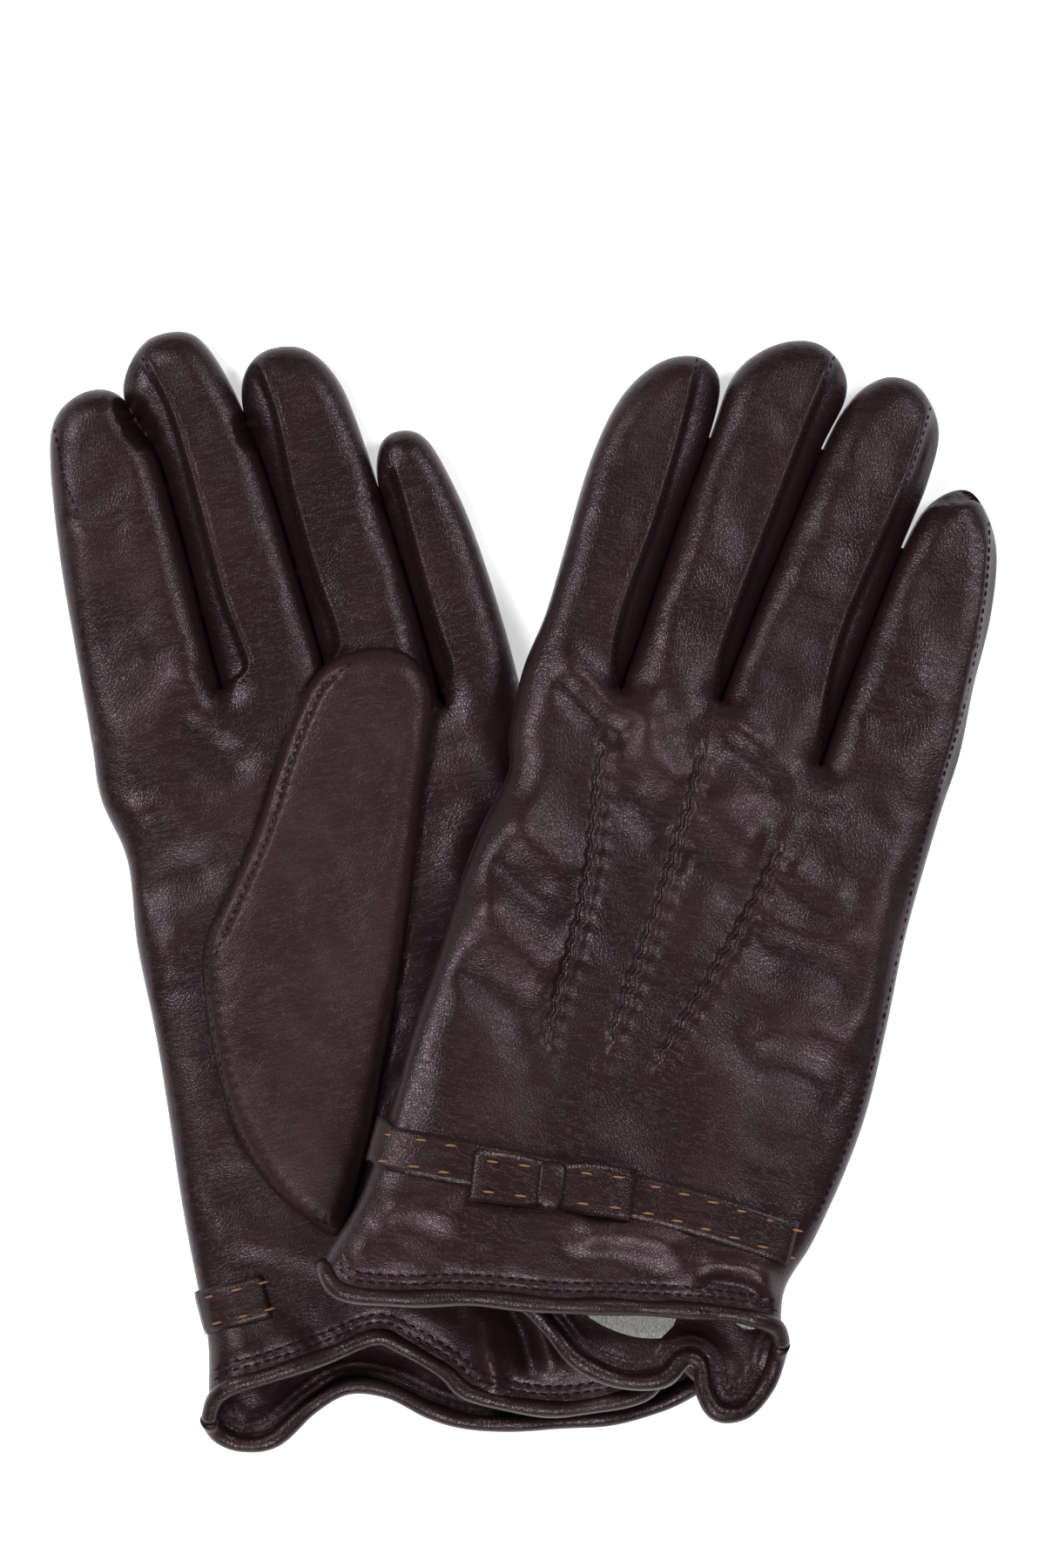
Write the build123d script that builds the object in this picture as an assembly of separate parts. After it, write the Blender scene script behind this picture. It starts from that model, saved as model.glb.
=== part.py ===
from build123d import *
import os

# A pair of lined women's leather gloves, laid one partly over the other.
#
# The left glove lies palm up, and the right glove lies back up across its cuff.
# Each glove is built in its own frame: U runs across the hand towards the little
# finger, V along the hand towards the fingertips and W up, with V = 0 at the cuff.

# Materials, in millimetres of thickness.
LEATHER = 0.8
LINING = 0.9
HAND_GAP = 0.5          # between the leather and the lining, where the elastic lies
FINGER_GAP = 0.3
THUMB_GAP = 0.2
STRAP = 0.7
THREAD = 0.35
CLEAR = 0.4             # between bodies that move apart
TOUCH = 0.05            # between pieces that are sewn together

# Overall thickness of each part of a glove as it lies, and the roundness of its edges.
HAND_THICK = 12.0
FINGER_THICK = 11.0
THUMB_THICK = 5.4
HAND_ROUND = 4.0
FINGER_ROUND = 4.6
THUMB_ROUND = 2.4

# The strap, the bow and the cuff.
STRAP_WIDTH = 9.6
STRAP_RIGHT = 43.0      # U of its end at the side seam
SIDE_EASE = 0.6         # how far it stands off the hand's side
STRAP_RETURN = 13.0     # how far the strap's end comes round onto the palm side
STITCH_COUNT = 15       # places for stitches in a row, before those under the bow are left out
STITCH_FIRST = 4.0      # from the strap's left end to the middle of the first stitch
STITCH_LAST = 1.0       # the last one's middle is at least this far from the side seam
STITCH_PITCH = 6.5
STITCH_LENGTH = 2.6
STITCH_WIDTH = 0.7
STITCH_INSET = 1.9      # from the strap's edge to the stitch
BOW_LENGTH = 34.4
BOW_WIDTH = 10.4
BOW_HEIGHT = 1.6
BOW_WALL = 0.5
BOW_BELOW = 0.6         # the bow's middle lies this much nearer the cuff than the strap's
BOW_CLEAR = 2.0         # from the bow's end to the middle of the nearest stitch in the strap
BOW_STITCHES = (-13.4, -6.6, 6.6, 13.4)     # along the bow from its middle
KNOT_WIDTH = 5.6
KNOT_WALL = 0.4
BINDING = 3.0
BINDING_PROUD = 0.4
ELASTIC_LENGTH = 52.0
ELASTIC_WIDTH = 6.0
ELASTIC_THICK = 0.35
ELASTIC_AT = (4.0, -12.0)   # its U, and its V from the strap's
TUCK_RADIUS = 0.6
FOURCHETTE_HALF = 3.2   # half the height of the strip in a finger's side
FOURCHETTE_SHORT = 2.5  # it stops this far short of the finger's shoulder
QUIRK_THICK = 0.3
THUMB_HOLE = (8.0, 44.0)
HOLE_AT = (-6.0, -10.0)     # its middle's U from the thumb's fold line, V from the outline's fourth point
HOLE_DEEP = 3.2         # each way from the palm's surface

LIFT = 120.0            # the right glove lifts this far off the left one

# Each finger: U, V of its left and right edges at the root, halfway and at the
# shoulder, then its tip. bend is the V of the fold line at its root.
LEFT = {
    "name": "left",
    "palm": 1,
    "turn": -14.7,
    "pitch": 1.2,
    "roll": 0.0,
    "origin": (-12.2, -109.65),
    "height": 10.1,
    "hem": -1.0,
    "hem_slope": -6.5,
    "hand": [(-51, -30), (-50.5, 8), (-47.5, 35), (-46, 58), (-43, 85), (-41.5, 112), (-39.5, 130),
             (-41.2, 150), (-9.9, 163), (12.6, 161.5), (34.4, 149), (51, 146), (50.5, 110), (51, 75),
             (50, 52), (47, 30), (51, 0), (51, -30)],
    "fingers": {
        "index": dict(left=[(-40.4, 140), (-36.8, 200), (-33, 220)], tip=(-22, 230),
                      right=[(-12.6, 219), (-10.9, 195), (-10.4, 150)], bend=172),
        "middle": dict(left=[(-9.4, 150), (-9.6, 195), (-11.9, 228)], tip=(-2, 238.5),
                       right=[(7.6, 228), (11.2, 195), (12.1, 148)], bend=172),
        "ring": dict(left=[(13.1, 148), (12.5, 188), (10.6, 219)], tip=(20.4, 229),
                     right=[(29.8, 219), (32.4, 190), (33.9, 138)], bend=171),
        "little": dict(left=[(34.9, 138), (33.5, 182), (33.2, 197)], tip=(40, 205.5),
                       right=[(46.7, 198), (50, 182), (51, 134)], bend=160),
    },
    "thumb": [(-15.5, 47), (-26, 56), (-31.3, 72), (-31.3, 92), (-27, 111), (-8, 135), (8.5, 159),
              (20, 163), (31, 158), (32.5, 147), (23, 123), (9.5, 89.5), (-5.5, 64)],
    "quirk": [(-21.5, 133.5), (-10, 129), (-15, 122.5)],
    "strap": 35.0,
    "bow": -9.5,
    "tucks": [((-22.5, 152), (-17, 77)), ((-1.8, 157), (-5, 80)), ((20.7, 141), (4, 78))],
}
RIGHT = {
    "name": "right",
    "palm": -1,
    "turn": 14.6,
    "pitch": 8.3,
    "roll": 4.0,
    "origin": (6.7, -97.65),
    "height": 38.4,
    "hem": 4.5,
    "hem_slope": 1.0,
    "hand": [(-50, -30), (-50, 10), (-46.5, 28), (-45.5, 50), (-45, 75), (-43.8, 100), (-40.5, 118),
             (-41.5, 140), (-21, 143), (-0.2, 146), (23.8, 138), (51, 136), (50.3, 105), (51.5, 75),
             (50.5, 52), (47.5, 38), (43.5, 22), (44, 8), (44, -30)],
    "fingers": {
        "index": dict(left=[(-41.2, 128), (-40, 188), (-35, 207)], tip=(-25, 216.5),
                      right=[(-17.2, 208), (-19.6, 180), (-21.2, 131)], bend=154),
        "middle": dict(left=[(-20.2, 131), (-17.8, 190), (-14.8, 215)], tip=(-1.5, 225.5),
                       right=[(6.6, 215), (2.8, 185), (-0.7, 134)], bend=157),
        "ring": dict(left=[(0.4, 134), (3.9, 185), (7.8, 211.5)], tip=(18.5, 223),
                     right=[(30.4, 212), (27.2, 185), (23.4, 126)], bend=157),
        "little": dict(left=[(24.5, 126), (28.2, 178), (31.8, 196)], tip=(38.5, 203.5),
                       right=[(46, 197), (50, 178), (50.8, 124)], bend=149),
    },
    "thumb": [(-15.5, 29), (-26, 38), (-31.3, 54), (-31.3, 74), (-27, 93), (-8, 117), (8.5, 141),
              (20, 145), (31, 140), (32.5, 129), (23, 105), (9.5, 71.5), (-5.5, 46)],
    "quirk": [(-21.5, 115.5), (-10, 111), (-15, 104.5)],
    "strap": 36.5,
    "bow": -9.5,
    "tucks": [((-22.5, 134), (-17, 59)), ((-1.8, 139), (-5, 62)), ((20.7, 123), (4, 60))],
}
GLOVES = (LEFT, RIGHT)
SIDES = {       # which of its sides have a fourchette let in
    "index": ("right",),
    "middle": ("left", "right"),
    "ring": ("left", "right"),
    "little": ("left",),
}
THUMB_FOLD = -17.0      # U of the line that the thumb folds open along
ROOT_SPARE = 12.0       # the roots run this far past the folds before they are cut there
FAR = 400.0
# What the pair lies on, which presses it flat where it touches.
TABLE = Pos(0, 0, -FAR / 2) * Box(2 * FAR, 2 * FAR, FAR)


def placement(glove):
    """Where the glove's frame lies in the part's own frame."""
    lean = Rot(X=-glove["pitch"]) * Rot(Y=glove["roll"])
    return Pos(*glove["origin"], glove["height"]) * Rot(Z=-glove["turn"]) * lean


def slab(u0, u1, v0, v1, w0, w1):
    """A box between those limits in a glove's frame."""
    return Pos((u0 + u1) / 2, (v0 + v1) / 2, (w0 + w1) / 2) * Box(u1 - u0, v1 - v0, w1 - w0)


def polygon(points):
    return make_face(Polyline(*points, close=True))


def set_in(points, inset):
    """A clockwise outline with every side moved inwards by inset."""
    corners = [Vector(*point) for point in points]
    ways = [(b - a).normalized() for a, b in zip(corners, corners[1:] + corners[:1])]
    inwards = [Vector(way.Y, -way.X) for way in ways]
    moved = []
    for corner, one, other in zip(corners, inwards[-1:] + inwards, inwards):
        moved.append(corner + (one + other) * (inset / (1 + one.dot(other))))
    return moved


def plate(points, thick, inset=0.0, round_to=0.0, tip=None):
    """A slab of that outline about W = 0, set in by inset all round, its long edges rounded.

    tip is the number of the point that is the top of an arc between its neighbours.
    """
    points = set_in(points, inset)
    if tip is None:
        face = polygon(points)
    else:
        arc = ThreePointArc(*points[tip - 1:tip + 2])
        rest = Polyline(*points[tip + 1:], *points[:tip])
        face = make_face(arc + rest)
    solid = extrude(face, amount=thick / 2 - inset, both=True)
    if round_to > inset:
        solid = fillet(solid.edges().filter_by(Plane.XY), round_to - inset)
    return solid


def finger_plate(finger, thick, inset):
    """A finger from its root to its round tip."""
    points = [*finger["left"], finger["tip"], *finger["right"]]
    return plate(points, thick, inset, FINGER_ROUND, tip=len(finger["left"]))


def hand_body(glove, inset=0.0):
    """The hand with its fingers' roots, set in by inset all round."""
    body = plate(glove["hand"], HAND_THICK, inset, HAND_ROUND)
    for finger in glove["fingers"].values():
        left, right, v = finger["left"], finger["right"], finger["bend"] + ROOT_SPARE
        root = [left[0], (edge_at(left, v), v), (edge_at(right, v), v), right[-1]]
        body += plate(root, HAND_THICK, inset, FINGER_ROUND)
    return body


def below_hem(glove, edge):
    """Everything past a line across the cuff, that far along from the glove's origin."""
    return Rot(Z=glove["hem_slope"]) * slab(-FAR, FAR, -FAR, edge, -FAR, FAR)


def edge_at(edge, v):
    """U of a finger's side at that V, between the two points that straddle it."""
    (u0, v0), (u1, v1) = sorted(edge, key=lambda point: abs(point[1] - v))[:2]
    return u0 + (u1 - u0) * (v - v0) / (v1 - v0)


def past_folds(glove):
    """The space past every finger's fold line, which the hand leaves to the fingers."""
    fingers = list(glove["fingers"].values())
    starts = [-FAR]
    for one, other in zip(fingers, fingers[1:]):
        v = min(one["bend"], other["bend"])
        starts.append((edge_at(one["right"], v) + edge_at(other["left"], v)) / 2)
    ends = starts[1:] + [FAR]
    return [slab(u0, u1, f["bend"], FAR, -FAR, FAR) for f, u0, u1 in zip(fingers, starts, ends)]


def thumb_hole(glove):
    """The hole through the palm, the lining and the thumb's underside."""
    u, v = THUMB_FOLD + HOLE_AT[0], glove["thumb"][3][1] + HOLE_AT[1]
    slot = Pos(u, v) * RectangleRounded(*THUMB_HOLE, THUMB_HOLE[0] / 2 - 0.1)
    return Pos(0, 0, glove["palm"] * HAND_THICK / 2) * extrude(slot, amount=HOLE_DEEP, both=True)


def hand_parts(glove):
    """The palm and back panels, the lining, the cuff's binding and the wrist elastic."""
    palm, hole = glove["palm"], thumb_hole(glove)
    lined = LEATHER + HAND_GAP
    inside = hand_body(glove, lined + LINING)
    away = [below_hem(glove, glove["hem"]), *past_folds(glove)]
    shell = hand_body(glove) - hand_body(glove, LEATHER) - away
    lining = hand_body(glove, lined) - inside - away
    upper = slab(-FAR, FAR, -FAR, FAR, TOUCH, FAR)
    lower = slab(-FAR, FAR, -FAR, FAR, -FAR, -TOUCH)
    palm_side, back_side = (upper, lower) if palm > 0 else (lower, upper)
    rim = plate(glove["hand"], HAND_THICK, -BINDING_PROUD, HAND_ROUND - BINDING_PROUD)
    band = below_hem(glove, glove["hem"] - TOUCH) - below_hem(glove, glove["hem"] - TOUCH - BINDING)
    level = palm * (HAND_THICK / 2 - LEATHER - HAND_GAP / 2)
    elastic = Box(ELASTIC_LENGTH, ELASTIC_WIDTH, ELASTIC_THICK)
    return {
        "palm_panel": (shell & palm_side) - hole,
        "back_panel": shell & back_side,
        "hand_lining": lining - hole,
        "cuff_binding": (rim - inside) & band,
        "wrist_elastic": Pos(ELASTIC_AT[0], glove["strap"] + ELASTIC_AT[1], level) * elastic,
    }


def finger_parts(glove, name):
    """One finger's leather stall, the fourchettes let into its sides and its lining."""
    finger = glove["fingers"][name]
    past_fold = slab(-FAR, FAR, finger["bend"] + CLEAR, FAR, -FAR, FAR)

    def tube(inset, wall):
        outer = finger_plate(finger, FINGER_THICK, inset)
        return (outer - finger_plate(finger, FINGER_THICK, inset + wall)) & past_fold

    stall, lining = tube(0, LEATHER), tube(LEATHER + FINGER_GAP, LINING)
    middle = (finger["left"][0][0] + finger["right"][0][0]) / 2
    end = min(finger["left"][-1][1], finger["right"][0][1]) - FOURCHETTE_SHORT
    strips = []
    room = FOURCHETTE_HALF + TOUCH
    for side in SIDES[name]:
        limits = (-FAR, middle) if side == "left" else (middle, FAR)
        strips += (stall & slab(*limits, 0, end, -FOURCHETTE_HALF, FOURCHETTE_HALF)).solids()
        stall -= slab(*limits, 0, end + TOUCH, -room, room)
    return {f"{name}_stall": stall, f"{name}_fourchette": strips, f"{name}_lining": lining}


def thumb_parts(glove):
    """The thumb, flat on the palm: its sewn root, the stall that folds open and its lining."""
    palm = glove["palm"]
    outline = glove["thumb"]
    lift = Pos(0, 0, palm * (HAND_THICK / 2 + CLEAR + THUMB_THICK / 2))
    lined = LEATHER + THUMB_GAP
    hole = thumb_hole(glove)

    def tube(inset, wall):
        outer = plate(outline, THUMB_THICK, inset, THUMB_ROUND)
        return lift * (outer - plate(outline, THUMB_THICK, inset + wall, THUMB_ROUND))

    shell, lining = tube(0, LEATHER), tube(lined, LINING)
    folding = slab(THUMB_FOLD + CLEAR, FAR, -FAR, FAR, -FAR, FAR)
    sewn = slab(-FAR, THUMB_FOLD, -FAR, FAR, -FAR, FAR)
    quirk = extrude(polygon(glove["quirk"]), amount=QUIRK_THICK / 2, both=True)
    level = palm * (HAND_THICK / 2 + TOUCH + QUIRK_THICK / 2)
    return {
        "thumb_root": (shell - hole) & sewn,
        "thumb_stall": shell & folding,
        "thumb_lining": lining & folding,
        "thumb_quirk": Pos(0, 0, level) * quirk,
    }


def strap_parts(glove):
    """The strap across the back, its tan stitches, and the flat bow with its knot."""
    back = -glove["palm"]
    v, face = glove["strap"], HAND_THICK / 2 + TOUCH
    left = min(u for u, v_edge in glove["hand"] if abs(v_edge - v) < STRAP_WIDTH) - SIDE_EASE
    right = STRAP_RIGHT
    v0, v1 = v - STRAP_WIDTH / 2, v + STRAP_WIDTH / 2
    body = slab(left - STRAP, right, v0, v1, -face - STRAP, face + STRAP)
    body -= slab(left, right + 1, v0 - 1, v1 + 1, -face, face)
    beyond = slab(left + STRAP_RETURN, right + 1, v0 - 1, v1 + 1, -FAR, 0)
    body -= beyond if back > 0 else mirror(beyond, about=Plane.XY)
    bow_v, top = v - BOW_BELOW, back * (face + STRAP + TOUCH)
    stitch = Box(STITCH_LENGTH, STITCH_WIDTH, THREAD)
    stitches = []
    for row in (v0 + STITCH_INSET, v1 - STITCH_INSET):
        for i in range(STITCH_COUNT):
            u = left + STITCH_FIRST + i * STITCH_PITCH
            beside_bow = abs(u - glove["bow"]) > BOW_LENGTH / 2 + BOW_CLEAR
            if u < right - STITCH_LAST and beside_bow:
                stitches.append(Pos(u, row, top + back * THREAD / 2) * stitch)
    hollow = SlotOverall(BOW_LENGTH - 2 * BOW_WALL, BOW_HEIGHT - 2 * BOW_WALL)
    ring = SlotOverall(BOW_LENGTH, BOW_HEIGHT) - hollow
    rise = top + back * (KNOT_WALL + 2 * TOUCH + BOW_HEIGHT / 2)
    bow = Pos(glove["bow"], bow_v, rise) * extrude(Plane.XZ * ring, amount=BOW_WIDTH / 2, both=True)
    hole = (BOW_WIDTH + 2 * TOUCH, BOW_HEIGHT + 2 * TOUCH)
    band = Rectangle(hole[0] + 2 * KNOT_WALL, hole[1] + 2 * KNOT_WALL) - Rectangle(*hole)
    knot = Pos(glove["bow"], bow_v, rise) * extrude(Plane.YZ * band, amount=KNOT_WIDTH / 2, both=True)
    crown = rise + back * (BOW_HEIGHT / 2 + TOUCH + THREAD / 2)
    bow_stitches = [
        Pos(glove["bow"] + du, bow_v + dv, crown) * stitch
        for du in BOW_STITCHES
        for dv in (STITCH_INSET - BOW_WIDTH / 2, BOW_WIDTH / 2 - STITCH_INSET)
    ]
    return {
        "wrist_strap": body,
        "strap_stitches": stitches,
        "bow": bow,
        "bow_knot": knot,
        "bow_stitches": bow_stitches,
    }


def tuck_parts(glove):
    """The three raised tucks that run down the back."""
    back = -glove["palm"]
    tucks = []
    for start, end in glove["tucks"]:
        run = Vector(*end) - Vector(*start)
        middle = (Vector(*start) + Vector(*end)) / 2 + Vector(0, 0, back * (HAND_THICK / 2 + TOUCH))
        stand = Plane(origin=middle, x_dir=run.cross(Vector(0, 0, -back)), z_dir=run)
        section = Circle(TUCK_RADIUS) & Pos(0, TUCK_RADIUS) * Rectangle(2 * TUCK_RADIUS, 2 * TUCK_RADIUS)
        tucks.append(stand * extrude(section, amount=run.length / 2, both=True))
    return {"back_tucks": tucks}


def glove_parts(glove):
    parts = hand_parts(glove)
    for name in glove["fingers"]:
        parts.update(finger_parts(glove, name))
    parts.update(thumb_parts(glove))
    parts.update(strap_parts(glove))
    parts.update(tuck_parts(glove))
    return parts


def main():
    os.makedirs("parts", exist_ok=True)
    for glove in GLOVES:
        place = placement(glove)
        for name, shape in glove_parts(glove).items():
            pieces = shape if isinstance(shape, list) else [shape]
            solids = [(place * solid) - TABLE for piece in pieces for solid in piece.solids()]
            node = solids[0] if len(solids) == 1 else Compound(solids)
            export_step(node, f"parts/{glove['name']}_{name}.step")


if __name__ == "__main__":
    main()
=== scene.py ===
# A pair of lined leather gloves: leather, seams, strap, bow and cuffs, built round the CAD frame.
#
# Each glove is made in its own flat frame in millimetres: u runs across the hand towards the
# little finger, v along it towards the fingertips and w up, with v = 0 at the cuff. lay() then
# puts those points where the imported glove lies.

import math

import bpy
import numpy as np
from mathutils import Matrix, Vector
from mathutils.geometry import delaunay_2d_cdt
from mathutils.kdtree import KDTree


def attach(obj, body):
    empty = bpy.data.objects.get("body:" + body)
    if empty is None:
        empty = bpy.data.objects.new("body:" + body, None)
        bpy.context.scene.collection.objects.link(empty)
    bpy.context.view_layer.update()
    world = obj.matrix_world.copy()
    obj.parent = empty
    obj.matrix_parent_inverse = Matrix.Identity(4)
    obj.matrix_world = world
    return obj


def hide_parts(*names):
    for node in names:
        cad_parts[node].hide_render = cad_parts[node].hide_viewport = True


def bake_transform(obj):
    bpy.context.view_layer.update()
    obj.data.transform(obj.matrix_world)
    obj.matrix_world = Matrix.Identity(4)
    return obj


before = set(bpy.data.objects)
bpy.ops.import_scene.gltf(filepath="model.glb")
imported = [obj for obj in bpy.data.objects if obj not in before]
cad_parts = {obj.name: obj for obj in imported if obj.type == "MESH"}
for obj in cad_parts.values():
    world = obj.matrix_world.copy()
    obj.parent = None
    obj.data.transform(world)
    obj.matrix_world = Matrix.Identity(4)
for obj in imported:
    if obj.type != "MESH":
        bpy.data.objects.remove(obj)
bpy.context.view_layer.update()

MM = 0.001
HAND_HALF = 5.9         # half the thickness of the hand
FINGER_HALF = 5.4
EDGE_ROUND = 8.5        # how far in from its edge a hand reaches its full thickness
FINGER_ROUND = 6.6      # and a finger
THUMB_BASE = 6.2        # the underside of the folded thumb
THUMB_THICK = 4.6
THUMB_ROUND = 5.0
GRID = 1.15             # spacing of the points in the leather
FINE = 0.6              # and near the hems and the tucks
RIM_RINGS = (0.35, 1.0, 2.0)
LINING_DEPTH = 58.0     # how far in from the cuff the lining is made
BARE_END = 9.0          # how much further in it starts at the little finger's side
TAN_STITCH = (6.5, 2.5, 0.52)       # pitch, length and width of the strap's stitches
RETURN_STITCH = (5.2, 2.5, 0.52)    # and of those where the strap comes round onto the palm
HEM_STITCH = (2.3, 1.5, 0.36)
SEAM_STITCH = (1.9, 1.25, 0.34)
HEM_ROWS = (3.0, 4.7)   # how far the rows of stitches lie from the hem's edge
ROLL_RADIUS = 1.85      # of the rolled hem
STRAP_ENDS = (-45.0, 43.0)
STRAP_RETURN = -33.5    # where it ends on the palm's side
STRAP_THICK, STRAP_HALF = 0.7, 4.7
STRAP_ROWS = (-2.9, 2.9)
BOW_LENGTH, BOW_WIDTH = 34.4, 11.0
BOW_ASKEW = math.radians(8)
BOW_BELOW = 0.6         # the bow's middle lies this much nearer the cuff than the strap's
BOW_COLUMNS = (-13.4, -6.6, 6.6, 13.4)      # where its stitches are
BOW_ROWS = (-3.2, 3.2)
KNOT_HALF = 2.75
THUMB_SEAM = 3.0        # how far the thumb's seam lies inside its left edge
THUMB_SEWN = 0.9        # and the stitches that hold it down, along its lower left
THUMB_FOLD = (-27, -7)  # the thumb's joint lies between these u; it is not bent here
THUMB_BACK = 18.0       # the right thumb lies this much nearer the cuff than the left one
SAG_LENGTH = 70.0       # how far from the cuff a glove sags
FLOOR_CLEAR = 0.05      # nothing lies lower than this
CLOTH_GRID = 2.3        # spacing of the points of the cloth that the leather wrinkles as
CLOTH_SCALE = 0.01      # cloth is simulated ten times its real size, where the solver is steady
CLOTH_SPARE = 0.03      # how much longer it is than the seams that hold it
CLOTH_FRAMES = 18
CLOTH_SWELL = 9.0       # swellings broader than this are left out, because the glove lies flat
WRINKLE = 0.9           # the furthest that it may move the leather
WRINKLE_SHARE = 0.34
SCALLOP = 4.0           # the length of one wave of a tuck
GUSSET_HALF = 0.9       # half the width of the strip's edge that lies between two fingers
GUSSET_LEVEL = -1.2     # its height
GUSSET_SHORT = 14.0     # it starts this far below the fingertip
FINGERS = ("index", "middle", "ring", "little")

# The outline of each glove from the left end of its hem, up and round to the right end.
# Each finger: its left side, tip and right side; the gap after it is where the web lies.
LEFT = {
    "name": "left", "palm": 1, "turn": -14.7, "pitch": 1.2, "roll": 0.0,
    "origin": (-12.2, -109.65, 10.1), "sag": 0.0, "bare": (12.0, 15.0),
    "side": [(-52.2, 12.6), (-50.4, 19.5), (-48, 30), (-47.1, 45), (-46, 60), (-44, 78), (-42.4, 95),
             (-41.4, 114), (-38.9, 132), (-41.0, 146)],
    "index": [(-39.9, 158), (-38.5, 175), (-36.6, 197), (-33.6, 217), (-30.4, 226.3), (-24.5, 230.4),
              (-18.1, 230.2), (-14, 225.6), (-11.1, 214), (-10.4, 195), (-10.5, 176)],
    "gap1": (-10.3, 162.6),
    "middle": [(-10.2, 176), (-10.1, 195), (-10.7, 213), (-13.8, 222), (-14.4, 229), (-10.4, 235.5),
               (-4.5, 238.6), (3.6, 236.2), (8.2, 224), (10.3, 207), (11.2, 188), (11.7, 172)],
    "gap2": (12.0, 160.9),
    "ring": [(12.0, 172), (11.4, 190), (10.6, 205), (9.2, 218), (11.6, 226), (17.3, 229.6), (25.4, 227.6),
             (30.6, 219), (32.5, 204), (33.3, 185), (34.1, 166)],
    "gap3": (34.4, 149.0),
    "little": [(34.4, 164), (33.7, 182), (33.0, 196), (35.6, 203.8), (40.2, 205.8), (45.4, 202.6),
               (48.9, 190), (50.6, 176), (51.4, 158)],
    "edge": [(51.2, 140), (50.6, 112), (51, 80), (50, 55), (47.5, 33), (49.5, 12), (52, -6)],
    "top_hem": [(46, 1.5), (39.3, -5), (23.7, -4.5), (13, -1.3), (2.7, 4.5), (-0.9, 9.8), (-8.4, 17.5),
                (-13.3, 20.7), (-23.7, 19.6), (-36.6, 18.6), (-45, 18.4), (-49.6, 16.6)],
    "under_hem": [(41.5, -8.6), (30, -8.5), (13, -5.2), (2, -2.3), (-6, 2.4), (-14, 9), (-22, 12),
                  (-31, 9.5), (-40, 5.0), (-46.6, 5.6), (-50.8, 8.6)],
    "starts": (162.8, 162.8, 161.2, 149.2),
    "ends": (181, 181, 180, 169),
    "strap": 35.0, "bow": -9.5,
    "thumb": [(-15, 44), (-22, 49.5), (-27.6, 58.5), (-31, 70), (-31.6, 82), (-30.6, 97), (-27.6, 110),
              (-20.5, 119), (-11, 131), (-2.8, 144), (4, 153.5), (9.5, 159.5), (16, 162.6), (24, 162.3),
              (30.4, 158.8), (33, 152), (31.5, 144), (24, 125), (16.5, 106), (8.5, 87), (1, 71), (-6, 57)],
    "quirk": [(-20.8, 133.6), (-11.5, 129.6), (-15.5, 123)],
    "seams": {"middle": [(-9.2, 236), (-5.9, 222.5), (-5.1, 203), (-5.1, 181), (-4.1, 171), (-4.0, 165),
                         (-8.5, 162.6)],
              "ring": [(14.2, 228.2), (15.6, 216), (14.8, 198), (15.2, 180.4), (16.3, 169), (15.6, 164),
                       (12.6, 161.6)],
              "little": [(36, 203.2), (37, 193), (37, 175), (37.4, 162), (38, 154), (35.6, 150)],
              "index": [(-30.5, 228), (-30.9, 221), (-31.2, 214), (-30.3, 206.7)]},
    "tucks": [[(-22.6, 152), (-20.8, 138), (-17.9, 120), (-17.4, 105), (-17.7, 91), (-16.6, 77)],
              [(-1.8, 157), (-0.7, 144), (-1.4, 124), (-3, 105), (-4.2, 91), (-5, 80)],
              [(20.7, 141), (18.8, 128), (14, 109), (8.8, 93), (4, 78)]],
    # Folds in the leather: points, width and height.
    "folds": [([(-36, 205.6), (-31, 204.4), (-25, 201.5), (-18, 202.6)], 1.2, -0.55),
              ([(-22, 171), (-13, 163), (-15, 158), (-7, 147)], 3.0, 0.9),
              ([(-20, 160), (-13, 150), (-10, 140)], 3.6, -0.9),
              ([(-40, 138), (-30, 142), (-20, 139)], 3.2, 0.8),
              ([(-41, 122), (-30, 127), (-19, 124)], 3.4, -0.8),
              ([(-41, 104), (-35, 112), (-29, 116)], 3.0, 0.7),
              ([(38, 146), (42, 130), (44, 105)], 3.4, 0.9),
              ([(24, 108), (32, 120), (40, 126)], 3.2, 0.8),
              ([(9, 24), (9.5, 18), (8.9, 9), (9, 1)], 2.0, 1.9),
              ([(14, 24), (17, 14), (16, 3)], 1.9, -1.6),
              ([(18.8, 22), (21, 12), (21.7, 2)], 2.0, 1.9),
              ([(26, 20), (29, 12), (30.2, 2)], 2.0, 1.7),
              ([(34, 20), (37, 10), (38, 0)], 2.2, 1.5),
              ([(-44, 52), (-30, 45), (-18, 38), (-4, 32)], 3.4, 0.9),
              ([(-40, 26), (-25, 27), (-12, 30), (4, 28)], 2.8, -0.8)],
}
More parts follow.
